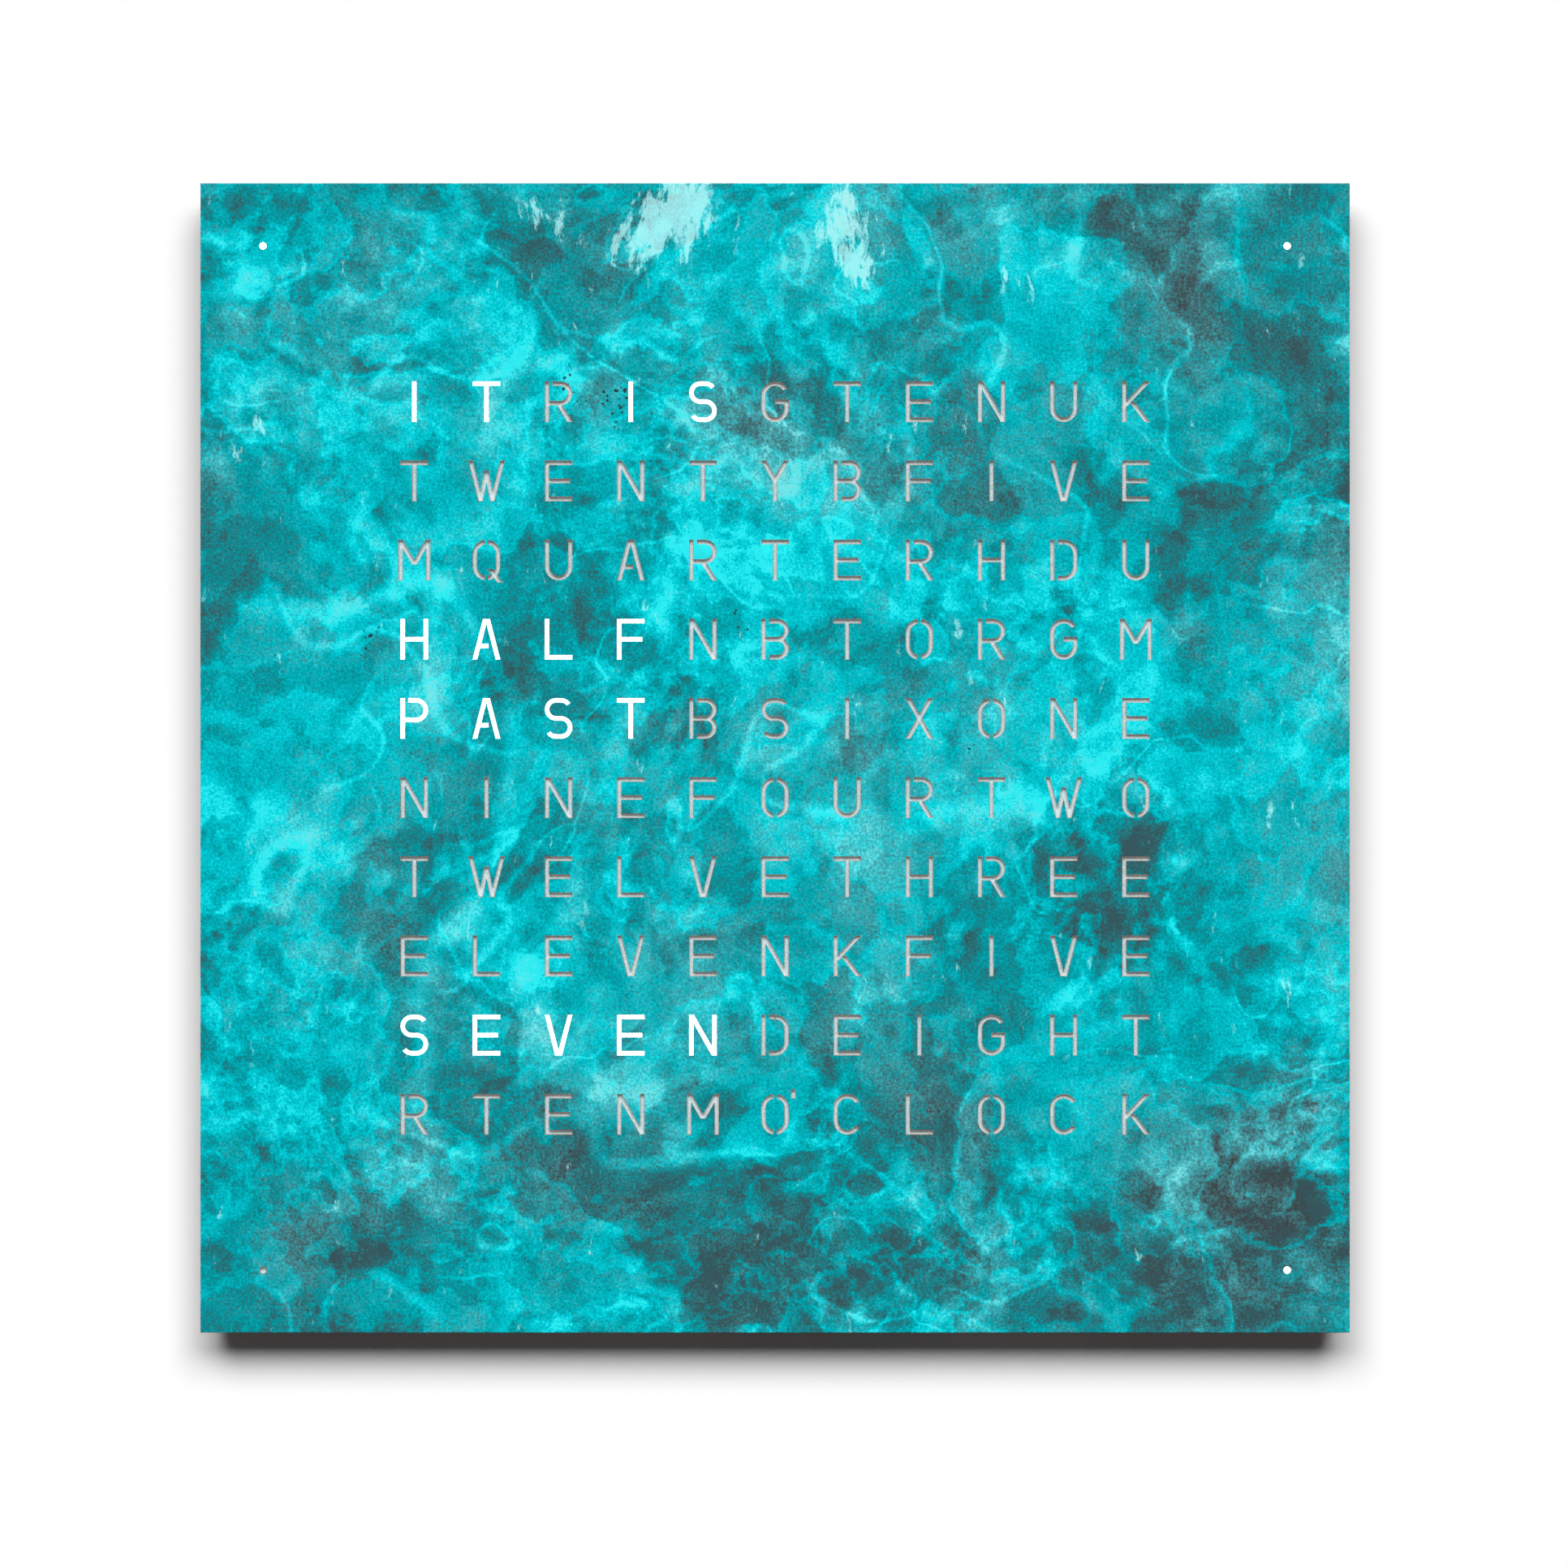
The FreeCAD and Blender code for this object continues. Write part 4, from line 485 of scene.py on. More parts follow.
def opal(name, tones, glow):
    """Opal sheet with a fine grain, and the light that comes through it."""
    f = Finish(name)
    cloud = f.noise(f.place, 1500.0, 3.0, 0.7)
    return f.set(Base_Color=f.mix(f.step(cloud, 0.35, 0.65), *tones.split()), Roughness=0.5,
                 Specular_IOR_Level=0.1, Normal=f.bump(cloud, 0.00005, 0.5),
                 Emission_Color=f.mix(f.step(cloud, 0.3, 0.7), *tones.split()), Emission_Strength=glow)


# The opal of the letters that are not lit, with a painted glow of the idle strength.
def idle_opal():
    scene = bpy.context.scene
    return opal("opal_idle", scene.clock_finish.idle_opal, scene.clock_reading.idle_glow)


def lit_opal():
    scene = bpy.context.scene
    return opal("opal_lit", scene.clock_finish.lit_opal, scene.clock_reading.glow)


def lit_edge():
    """The rounded edge of a lit cut, painted with a glow that stands in for the light it catches from
    behind.
    """
    return opal("lit_edge", "F4FFFF D2F6F8", 0.3 * bpy.context.scene.clock_reading.glow)


# Plain finishes by material slot: two tones, the range of the roughness, how fine the pattern is, the
# height of its relief in millimetres, and how metallic it is.
PLAIN = {
    "white_plastic": ("D6D6D2 E6E6E3", (0.42, 0.55), 700.0, 0.01, 0.0),
    "lamp_body": ("E2E0D6 F4F2EA", (0.30, 0.40), 900.0, 0.01, 0.0),
    "phosphor": ("D8B43A EFD877", (0.35, 0.50), 1600.0, 0.02, 0.0),
    "zinc_steel": ("77797C A5A8AA", (0.36, 0.56), 160.0, 0.01, 1.0),
    "nickel_plate": ("B4B3AE D0CFCA", (0.10, 0.24), 90.0, 0.004, 1.0),
    "black_plastic": ("0C0C0C 191919", (0.42, 0.58), 2200.0, 0.02, 0.0),
    "tin_can": ("B6B7BA D4D5D7", (0.20, 0.34), 220.0, 0.004, 1.0),
    "terminal_plastic": ("1B6B3C 2A8A50", (0.38, 0.50), 900.0, 0.01, 0.0),
    "cell_steel": ("A6A6A6 CACACA", (0.18, 0.34), 320.0, 0.005, 1.0),
    "connector_plastic": ("CFC6AE E2DAC4", (0.40, 0.52), 900.0, 0.01, 0.0),
    "lead_jacket": ("0A0A0A 1A1A1A", (0.48, 0.62), 1200.0, 0.02, 0.0),
    "black_steel": ("0C0C0D 1D1D1F", (0.42, 0.58), 900.0, 0.06, 0.0),
    "black_screw_steel": ("101012 2A2A2D", (0.28, 0.42), 500.0, 0.01, 0.8),
    "button_steel": ("808284 A8AAAC", (0.22, 0.36), 420.0, 0.006, 1.0),
    "contact_brass": ("A9843B D8B765", (0.20, 0.34), 500.0, 0.005, 1.0),
    "black_rubber": ("0B0B0B 1C1C1C", (0.62, 0.80), 1500.0, 0.05, 0.0),
}


def plain_finish(slot, tones, roughness, scale, height, metallic):
    """A fine even texture with wider wear over it."""
    f = Finish(slot)
    texture = f.noise(f.place, scale, 5.0, 0.65)
    wear = f.noise(f.warped(f.place, 20.0, 0.01), 28.0, 6.0, 0.6)
    level = f.nudge(texture, wear, 0.7)
    return f.set(Base_Color=f.mix(f.step(level, 0.3, 0.7), *tones.split()), Metallic=metallic,
                 Roughness=f.step(level, 0.3, 0.7, *roughness),
                 Specular_IOR_Level=0.5 if metallic else 0.12,
                 Normal=f.bump(texture, height * MM, 0.8))


def lacquer():
    tones = bpy.context.scene.clock_finish.lacquer
    return plain_finish("lacquered_board", tones, (0.50, 0.62), 1400.0, 0.05, 0.0)


def circuit_board():
    """White solder mask with the shadow of its tracks and rows of small tinned holes."""
    f = Finish("circuit_board")
    tracks = f.node("ShaderNodeTexBrick", {"Vector": f.place, "Scale": 60.0,
                                           "Mortar Size": 0.03}).outputs["Fac"]
    holes = f.cells(f.place, 170.0)
    mask = f.noise(f.place, 240.0, 4.0, 0.6)
    shade = f.mix(f.step(mask, 0.3, 0.7), "DADDD8", "E9EBE7")
    shade = f.mix(f.share(tracks, 0.25), shade, "B9C2B6")
    shade = f.mix(f.step(holes, 0.10, 0.16, 0.7, 0.0), shade, "8F9288")
    return f.set(Base_Color=shade, Roughness=f.step(mask, 0.3, 0.7, 0.30, 0.42),
                 Normal=f.bump(tracks, 0.00003, 0.5))


def flat_cable():
    """Laminated cable with its conductors side by side."""
    f = Finish("flat_cable")
    across = f.node("ShaderNodeSeparateXYZ", {0: f.place}).outputs[0]
    ribs = f.math("PINGPONG", f.math("DIVIDE", across, 1.25 * MM), 1.0)
    film = f.noise(f.place, 200.0, 4.0, 0.6)
    shade = f.mix(f.step(ribs, 0.25, 0.55), "E8E8E4", "BFC3C4")
    shade = f.mix(f.step(film, 0.4, 0.7, 0.0, 0.2), shade, "D5D2C4")
    return f.set(Base_Color=shade, Roughness=f.step(film, 0.3, 0.7, 0.28, 0.42),
                 Normal=f.bump(ribs, 0.00008, 0.7))


def clear_acrylic():
    f = Finish("clear_acrylic")
    haze = f.noise(f.place, 500.0, 3.0, 0.6)
    return f.set(Base_Color=f.mix(f.step(haze, 0.3, 0.7), "EAF2F3", "F7FBFB"),
                 Roughness=f.step(haze, 0.3, 0.7, 0.05, 0.16), Transmission_Weight=0.9, IOR=1.49,
                 Normal=f.bump(haze, 0.00001, 0.4))


OWN_FINISHES = {
    "patina_copper": patina, "cut_copper": cut_copper, "dull_copper": dull_copper,
    "opal_acrylic": idle_opal, "lit_opal": lit_opal, "lit_edge": lit_edge,
    "lacquered_board": lacquer, "circuit_board": circuit_board, "flat_cable": flat_cable,
    "clear_acrylic": clear_acrylic,
}
finishes = {}


def finish(name):
    """The material of this name, made once. It is one of the record's slots or a finish within one."""
    if name not in finishes:
        own = OWN_FINISHES.get(name)
        finishes[name] = own() if own else plain_finish(name, *PLAIN[name])
    return finishes[name]


# ---------------------------------------------------------------------------------------------------
# Meshes
# ---------------------------------------------------------------------------------------------------

slots = {row["node"]: row["material_slot"] for row in frame["record"]["subparts"]}
bodies = {node: body for body, names in frame["record"]["behaviour"]["bodies"].items() for node in names}

# Points nearer than this in metres are one, faces that meet at less than the flat angle are one, and an
# edge whose faces meet at more than the sharp angle can be rounded.
WELD = 2e-6
FLAT_ANGLE, SHARP_ANGLE = math.radians(0.6), math.radians(30)


def linked(name, data):
    """An object in the scene that shows the mesh, lamp or camera."""
    made = bpy.data.objects.new(name, data)
    bpy.context.scene.collection.objects.link(made)
    return made


def piece(name, mesh, materials, node):
    """A finished piece that stands for a CAD node, rides on its body and has its material slot."""
    made = linked(name, mesh)
    for material in materials:
        mesh.materials.append(material)
    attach(made, bodies[node])
    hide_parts(node)


def evaluated(made):
    """The plain mesh that an object's modifiers give. The object itself is removed."""
    graph = bpy.context.evaluated_depsgraph_get()
    mesh = bpy.data.meshes.new_from_object(made.evaluated_get(graph), depsgraph=graph)
    bpy.data.objects.remove(made)
    return mesh


def smoothed(mesh, angle=32, largest=60):
    """Smooth shading, with sharp edges where faces meet at more than the angle. Faces of more than the
    largest area in square millimetres are flat."""
    if mesh.has_custom_normals:
        mesh.attributes.remove(mesh.attributes["custom_normal"])
    mesh.set_sharp_from_angle(angle=math.radians(angle))
    mesh.polygons.foreach_set("use_smooth", [face.area < largest * MM * MM for face in mesh.polygons])
    return mesh


def rounded_copy(node, width, chosen=None):
    """A CAD piece with its sharp edges rounded. chosen(edge) picks some of the edges only."""
    mesh = frame["nodes"][node].data.copy()
    mesh.materials.clear()
    shell = bmesh.new()
    shell.from_mesh(mesh)
    bmesh.ops.remove_doubles(shell, verts=shell.verts, dist=WELD)
    bmesh.ops.dissolve_limit(shell, angle_limit=FLAT_ANGLE, verts=shell.verts, edges=shell.edges)
    weights = shell.edges.layers.float.new("bevel_weight_edge")
    for edge in shell.edges:
        sharp = len(edge.link_faces) == 2 and edge.calc_face_angle(0) > SHARP_ANGLE
        edge[weights] = float(sharp and (chosen is None or chosen(edge)))
    shell.to_mesh(mesh)
    shell.free()
    made = linked(node + "_work", mesh)
    bevel = made.modifiers.new("rounding", "BEVEL")
    bevel.limit_method = "WEIGHT"
    bevel.width = width * MM
    bevel.segments = 2
    return smoothed(evaluated(made))


def islands(node):
    """The box of each separate solid of a CAD node, as (low, high)."""
    shell = bmesh.new()
    shell.from_mesh(frame["nodes"][node].data)
    bmesh.ops.remove_doubles(shell, verts=shell.verts, dist=WELD)
    left, boxes = set(shell.verts), []
    while left:
        front, solid = [left.pop()], []
        while front:
            vert = front.pop()
            solid.append(vert.co)
            for edge in vert.link_edges:
                other = edge.other_vert(vert)
                if other in left:
                    left.remove(other)
                    front.append(other)
        boxes.append((Vector([min(co[i] for co in solid) for i in range(3)]),
                      Vector([max(co[i] for co in solid) for i in range(3)])))
    shell.free()
    return sorted(boxes, key=lambda box: tuple(round(value, 5) for value in box[0]))


# ---------------------------------------------------------------------------------------------------
# Letters, in millimetres about the middle of their cell
# ---------------------------------------------------------------------------------------------------


def line_stroke(start, end, width):
    """A straight stroke with square ends."""
    run = Vector(end) - Vector(start)
    side = Vector((-run.y, run.x)).normalized() * (width / 2)
    return [Vector(start) + side, Vector(end) + side, Vector(end) - side, Vector(start) - side]


def slant_stroke(start, end, width):
    """A slanting stroke whose ends are level, as where it meets the top or foot of a letter."""
    rise = end[1] - start[1]
    half = width * math.hypot(end[0] - start[0], rise) / abs(rise) / 2
    return [Vector((start[0] - half, start[1])), Vector((end[0] - half, end[1])),
            Vector((end[0] + half, end[1])), Vector((start[0] + half, start[1]))]


def bend_points(centre, radius, first, last, chords):
    """Points on an arc between two angles in degrees, with this many chords to a quarter."""
    steps = max(1, round(abs(last - first) / 90 * chords))
    turns = [math.radians(first + (last - first) * step / steps) for step in range(steps + 1)]
    return [Vector((centre[0] + radius * math.cos(turn), centre[1] + radius * math.sin(turn)))
            for turn in turns]


def letter_strokes(letter, width, height, line, bridge, chords):
    """The strokes of one letter, for an outer width and height."""
    side, end = (width - line) / 2, (height - line) / 2
    edge, top = width / 2, height / 2
    bend = end / 2
    gap = line / 2 + bridge
    split = math.degrees(math.asin(bridge / 2 / side))

    def bar(x0, z0, x1, z1):
        return line_stroke((x0, z0), (x1, z1), line)

    def slant(x0, z0, x1, z1):
        return slant_stroke((x0, z0), (x1, z1), line)

    def bow(x, z, radius, first, last):
        return (bend_points((x, z), radius + line / 2, first, last, chords)
                + bend_points((x, z), radius - line / 2, last, first, chords))

    def stem(x):
        return bar(x, -top, x, top)

    def bowl(upper, lower, lead_in, lead_out):
        """A bowl on the right of a stem, between two centre lines."""
        radius = (upper - lower) / 2
        turn = side - radius
        return [bar(-side + lead_in, upper, turn, upper), bar(-side + lead_out, lower, turn, lower),
                bow(turn, (upper + lower) / 2, radius, -90, 90)]

    # The middle of the round ends of tall letters, which are half circles over the whole width.
    round_z = end - side
    ring = [bow(0, round_z, side, 0, 90 - split), bar(side, -round_z, side, round_z),
            bow(0, -round_z, side, split - 90, 0), bow(0, round_z, side, 90 + split, 180),
            bar(-side, -round_z, -side, round_z), bow(0, -round_z, side, 180, 270 - split)]
    # How far the ends of C and G, and of S, stay open, in degrees.
    opening, hook = 30, 35
    crook = [bow(0, round_z, side, opening, 180), bar(-side, -round_z, -side, round_z)]
    belly, waist, tip = -end / 12, -height / 6, line / 4
    p_bowl = bowl(end, belly, gap, 0)
    leg = side * (waist + top) / height

    shapes = {
        "A": [slant(-side, -top, -tip, top), slant(side, -top, tip, top),
              bar(-side + leg, waist, side - leg - gap, waist)],
        "B": [stem(-side)] + bowl(end, 0, gap, 0) + bowl(0, -end, 0, gap),
        "C": crook + [bow(0, -round_z, side, 180, 360 - opening)],
        "D": [stem(-side), bar(-side + gap, end, 0, end), bow(0, round_z, side, 0, 90),
              bar(side, -round_z, side, round_z), bow(0, -round_z, side, 270, 360),
              bar(-side + gap, -end, 0, -end)],
        "E": [stem(-side), bar(-side, end, edge, end), bar(-side, 0, edge - line / 2, 0),
              bar(-side, -end, edge, -end)],
        "F": [stem(-side), bar(-side, end, edge, end), bar(-side, 0, edge - line / 2, 0)],
        "G": crook + [bow(0, -round_z, side, 180, 360), bar(side, -round_z, side, line / 2),
                      bar(0, 0, side, 0)],
        "H": [stem(-side), stem(side), bar(-side, 0, side, 0)],
        "I": [stem(0)],
        "K": [stem(-side), slant(-side, -line, side, top), slant(-side / 3, 0, side, -top)],
        "L": [stem(-side), bar(-side, -end, edge, -end)],
        "M": [stem(-side - line / 2), stem(side + line / 2),
              slant(-side - line / 2, top, 0, -line), slant(side + line / 2, top, 0, -line)],
        "N": [stem(-side), stem(side), slant(-side, top, side, -top)],
        "O": ring,
        "P": [stem(-side)] + p_bowl,
        "Q": ring + [slant(side / 3, -end / 2, edge, -top - line / 2)],
        "R": [stem(-side)] + p_bowl + [slant(0, belly, side, -top)],
        "S": [bow(side - bend, bend, bend, hook, 90), bar(bend - side, end, side - bend, end),
              bow(bend - side, bend, bend, 90, 270), bar(bend - side, 0, side - bend, 0),
              bow(side - bend, -bend, bend, -90, 90), bar(bend - side, -end, side - bend, -end),
              bow(bend - side, -bend, bend, 180 + hook, 270)],
        "T": [stem(0), bar(-edge, end, edge, end)],
        "U": [bar(-side, -round_z, -side, top), bar(side, -round_z, side, top),
              bow(0, -round_z, side, 180, 360)],
        "V": [slant(-side, top, -tip, -top), slant(side, top, tip, -top)],
        "W": [slant(-edge - line / 2, top, -side / 2, -top), slant(-side / 2, -top, 0, top / 2),
              slant(0, top / 2, side / 2, -top), slant(side / 2, -top, edge + line / 2, top)],
        "X": [slant(-side, top, side, -top), slant(-side, -top, side, top)],
        "Y": [slant(-side, top, 0, 0), slant(side, top, 0, 0), bar(0, -top, 0, line)],
        "'": [bar(edge + line, top - line, edge + line, top + line)],
    }
    return shapes[letter]


def turned_left(loop):
    """The loop in the order that has its inside on the left."""
    area = sum(a.x * b.y - b.x * a.y for a, b in zip(loop, loop[1:] + loop[:1]))
    return loop if area > 0 else loop[::-1]


def outlines(strokes):
    """The closed outlines round overlapping strokes."""
    points, faces = [], []
    for stroke in strokes:
        faces.append(range(len(points), len(points) + len(stroke)))
        points += turned_left(stroke)
    places, _, triangles, _, _, owners = delaunay_2d_cdt(points, [], faces, 1, 1e-4, True)
    sides = {(t[i - 1], t[i]) for t, owner in zip(triangles, owners) if owner for i in range(3)}
    after = {a: b for a, b in sides if (b, a) not in sides}
    loops = []
    while after:
        start, vert = after.popitem()
        loop = [places[start]]
        while vert != start:
            loop.append(places[vert])
            vert = after.pop(vert)
        loops.append(thinned(loop))
    return loops


def thinned(loop, shortest=0.06, straight=0.01):
    """The loop without points that lie on a straight run or very near to the one before."""
    apart = [p for i, p in enumerate(loop) if (p - loop[i - 1]).length > shortest]
    kept = []
    for i, p in enumerate(apart):
        before, after = (p - apart[i - 1]).normalized(), (apart[(i + 1) % len(apart)] - p).normalized()
        if abs(before.x * after.y - before.y * after.x) > straight or before.dot(after) < 0:
            kept.append(p)
    return kept


def grown(loop, distance, blunt=0.35):
    """The loop moved outwards by a distance. A sharp corner goes out no further than blunt lets it."""
    moved = []
    for i, p in enumerate(loop):
        before, after = (p - loop[i - 1]).normalized(), (loop[(i + 1) % len(loop)] - p).normalized()
        first, second = Vector((before.y, -before.x)), Vector((after.y, -after.x))
        moved.append(p + (first + second) * (distance / max(1 + first.dot(second), blunt)))
    return moved


def letter_cells():
    """Each letter with its row, its column and the middle of its cell."""
    for row, text in enumerate(LETTER_ROWS):
        column = -1
        for letter in text:
            column += letter != "'"
            yield letter, row, column, Vector(((column - (COLUMNS - 1) / 2) * COLUMN_PITCH,
                                               ((ROWS - 1) / 2 - row) * ROW_PITCH))


def lit_cells(words):
    """The row and column of each lit letter. The words are looked for in turn, from the top left."""
    row, column, lit = 0, 0, set()
    for word in words.split():
        while LETTER_ROWS[row].find(word, column) < 0:
            row, column = row + 1, 0
        column = LETTER_ROWS[row].find(word, column)
        lit |= {(row, column + step) for step in range(len(word))}
        column += len(word)
    return lit


class CLOCK_OT_cover(bpy.types.Operator):
    """Cut the cover sheet with its letters and minute dots, and give it its patina"""
    bl_idname = "clock.cover"
    bl_label = "Cover sheet"

    # How an edge is rounded, as (how far its outline grows, how far back from the face), in millimetres.
    # A cut is widest at the face, and the sheet is narrowest there.
    CUT = ((0.0, 0.0), (-0.1, 0.04), (-0.15, 0.14))
    LIT_CUT = ((0.02, 0.0), (-0.08, 0.05), (-0.12, 0.14))
    RIM = ((-0.25, 0.0), (-0.07, 0.07), (0.0, 0.25))

    # The sheet's materials: its face, its unlit cuts, its back, and the wall and rim of its lit cuts.
    # The wall and rim of a lit cut are copper painted to glow: the wall with the lit opal's full glow,
    # the rim with a weaker painted glow.
    FACE, BARE, BACK, LIT_WALL, LIT_RIM = range(5)
    # Points of walls and faces nearer than this, in metres, are one.
    SEAM = 1e-6

    def execute(self, context):
        cover, reading = context.scene.clock_cover, context.scene.clock_reading
        low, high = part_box("front_plate")
        depth = (high.y - low.y) / MM
        sizes = [value / MM for value in (cover.letter_width, cover.letter_height, cover.stroke,
                                          cover.bridge)] + [cover.chords]
        lit = lit_cells(reading.words)
        holes = []
        for letter, row, column, middle in letter_cells():
            for loop in outlines(letter_strokes(letter, *sizes)):
                holes.append(([p + middle for p in loop], (row, column) in lit and letter != "'"))
        for number, place in enumerate(DOT_PLACES):
            ring = bend_points(place, cover.dot_radius / MM, 0, 360, 2 * cover.chords)[:-1]
            holes.append((ring, number < reading.minutes))
        self.places, self.faces, self.tones = [], [], []
        corners = ((low.x, low.z), (high.x, low.z), (high.x, high.z), (low.x, high.z))
        edge = [Vector(corner) / MM for corner in corners]
        ends = [self.wall(edge, self.RIM, depth, self.FACE, self.FACE)]
        for loop, is_lit in holes:
            # A lit cut's copper wall and rim get a painted glow in place of bare copper.
            ends.append(self.wall(loop, self.LIT_CUT, depth, self.LIT_RIM, self.LIT_WALL) if is_lit
                        else self.wall(loop, self.CUT, depth, self.BARE, self.BARE))
        self.sheet([front for front, rear in ends], 0.0, self.FACE)
        self.sheet([rear for front, rear in ends], depth, self.BACK)
        mesh = bpy.data.meshes.new("cover_sheet")
        mesh.from_pydata([Vector((x, y, z)) * MM + Vector((0, low.y, 0)) for x, y, z in self.places],
                         [], self.faces)
        mesh.polygons.foreach_set("material_index", self.tones)
        shell = bmesh.new()
        shell.from_mesh(mesh)
        bmesh.ops.remove_doubles(shell, verts=shell.verts, dist=self.SEAM)
        bmesh.ops.recalc_face_normals(shell, faces=shell.faces)
        shell.to_mesh(mesh)
        shell.free()
        smoothed(mesh, angle=24)
        names = ("patina_copper", "cut_copper", "dull_copper", "lit_opal", "lit_edge")
        piece("cover_sheet", mesh, [finish(name) for name in names], "front_plate")
        return {"FINISHED"}

    def wall(self, loop, profile, depth, rim_tone, wall_tone):
        """The rounded edge and the wall of a cut. Gives its outlines on the face and on the back."""
        rings = [(grown(loop, out), back) for out, back in profile]
        rings.append((rings[-1][0], depth))
        for step, ((front, y0), (rear, y1)) in enumerate(zip(rings, rings[1:])):
            base = len(self.places)
            self.places += [(p.x, y0, p.y) for p in front] + [(p.x, y1, p.y) for p in rear]
            count = len(loop)
            for i in range(count):
                j = (i + 1) % count
                self.faces.append((base + i, base + j, base + count + j, base + count + i))
                self.tones.append(wall_tone if step == len(profile) - 1 else rim_tone)
        return rings[0][0], rings[-1][0]

    def sheet(self, loops, y, tone):
        """The flat face between the first outline and the others."""
        points, faces = [], []
        for loop in loops:
            faces.append(range(len(points), len(points) + len(loop)))
            points += loop
        places, _, triangles, _, _, owners = delaunay_2d_cdt(points, [], faces, 0, 1e-5, True)
        base = len(self.places)
        self.places += [(p.x, y, p.y) for p in places]
        for triangle, owner in zip(triangles, owners):
            if list(owner) == [0]:
                self.faces.append([base + vert for vert in triangle])
                self.tones.append(tone)


class CLOCK_OT_diffusers(bpy.types.Operator):
    """Make the opal sheets behind the letters and the minute dots, lit where the time is read"""
    bl_idname = "clock.diffusers"
    bl_label = "Diffusers"

    def execute(self, context):
        reading = context.scene.clock_reading
        materials = [finish("opal_acrylic"), finish("lit_opal")]
        lit = lit_cells(reading.words)
        low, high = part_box("diffuser_sheet")
        across = [(column - COLUMNS / 2) * COLUMN_PITCH * MM for column in range(COLUMNS + 1)]
        across = [low.x] + across + [high.x]
        up = [high.z] + [(ROWS / 2 - row) * ROW_PITCH * MM for row in range(ROWS + 1)] + [low.z]
        shell = bmesh.new()
        grid = {(i, j, y): shell.verts.new((x, y, z)) for i, x in enumerate(across)
                for j, z in enumerate(up) for y in (low.y, high.y)}
        for j in range(len(up) - 1):
            for i in range(len(across) - 1):
                corners = ((i, j), (i + 1, j), (i + 1, j + 1), (i, j + 1))
                for y in (low.y, high.y):
                    face = shell.faces.new([grid[a, b, y] for a, b in corners])
                    face.material_index = int((j - 1, i - 1) in lit)
        rim = [(i, 0) for i in range(len(across) - 1)]
        rim += [(len(across) - 1, j) for j in range(len(up) - 1)]
        rim += [(i, len(up) - 1) for i in range(len(across) - 1, 0, -1)]
        rim += [(0, j) for j in range(len(up) - 1, 0, -1)]
        for (a, b), (c, d) in zip(rim, rim[1:] + rim[:1]):
            shell.faces.new([grid[a, b, low.y], grid[c, d, low.y], grid[c, d, high.y],
                             grid[a, b, high.y]])
        bmesh.ops.recalc_face_normals(shell, faces=shell.faces)
        mesh = bpy.data.meshes.new("letter_diffuser")
        shell.to_mesh(mesh)
        shell.free()
        piece("letter_diffuser", mesh, materials, "diffuser_sheet")

        mesh = rounded_copy("corner_diffusers", 0.25)
        for face in mesh.polygons:
            nearest = min(range(4), key=lambda n: (face.center.x / MM - DOT_PLACES[n][0]) ** 2
                          + (face.center.z / MM - DOT_PLACES[n][1]) ** 2)
            face.material_index = int(nearest < reading.minutes)
        piece("dot_diffusers", mesh, materials, "corner_diffusers")
        return {"FINISHED"}


# ---------------------------------------------------------------------------------------------------
# Screws and lamps, which repeat
# ---------------------------------------------------------------------------------------------------

# A screw: the sides of its head and shank. As shares of the head's radius: the top of its crown, the
# arms of its cross recess from end to end, and how wide they are.
HEAD_SIDES, SHANK_SIDES = 40, 24
CROWN, CROSS_REACH, CROSS_WIDTH = 0.82, 1.15, 0.24


def screw_tree():
    """A pan-headed screw with a cross recess on each point, each turned as it was left by the driver."""
    f = Shapes(
        "screws", ("Head Radius", "Float", 0.002), ("Head Height", "Float", 0.001),
        ("Shank Radius", "Float", 0.001), ("Shank Length", "Float", 0.004),
        ("Rear", "Bool", False), ("Seed", "Int", 7), ("Material", "Material", None))
    radius, height, shank = (f.given[name] for name in ("Head Radius", "Head Height", "Shank Length"))
    half = f.share(height, 0.5)
    cone = f.node("GeometryNodeMeshCone", {"Vertices": HEAD_SIDES, "Radius Top": f.share(radius, CROWN),
                                           "Radius Bottom": radius, "Depth": half}).outputs[0]
    head = f.merged(f.placed(cone, f.combine(z=half)),
                    f.placed(f.cylinder(HEAD_SIDES, radius, half), f.combine(z=f.share(half, 0.5))))
    reach, thin = f.share(radius, CROSS_REACH), f.share(radius, CROSS_WIDTH)
    top = f.combine(z=height)
    head = f.cut(head, *[f.placed(f.cube(x, y, height), top) for x, y in ((reach, thin), (thin, reach))])
    sunk = f.placed(f.cylinder(SHANK_SIDES, f.given["Shank Radius"], shank),
                    f.combine(z=f.share(shank, -0.5)))

    # The screw is turned about its own axis, and faces the front or the rear.
    turn = f.node("FunctionNodeRandomValue", {2: 0.0, 3: math.tau, "Seed": f.given["Seed"]}).outputs[1]
    flip = f.node("GeometryNodeSwitch", {"Switch": f.given["Rear"], "False": math.pi / 2,
                                         "True": -math.pi / 2}, input_type="FLOAT").outputs[0]
    facing, spin = (f.node("FunctionNodeEulerToRotation", {0: angles}).outputs[0]
                    for angles in (f.combine(x=flip), f.combine(z=turn)))
    both = f.node("FunctionNodeRotateRotation", {"Rotation": facing, "Rotate By": spin},
                  rotation_space="LOCAL").outputs[0]
    return f.ended(f.painted(f.on_points(f.joined(head, sunk), Rotation=both), "Material"))


def grown_on_points(name, tree, places, values):
    """The plain mesh that a geometry tree makes on a set of points."""
    mesh = bpy.data.meshes.new(name)
    mesh.from_pydata(places, [], [])
    made = linked(name + "_work", mesh)
    modifier = made.modifiers.new(name, "NODES")
    modifier.node_group = tree
    for socket in tree.interface.items_tree:
        if socket.in_out == "INPUT" and socket.name in values:
            modifier[socket.identifier] = values[socket.name]
    return smoothed(evaluated(made))


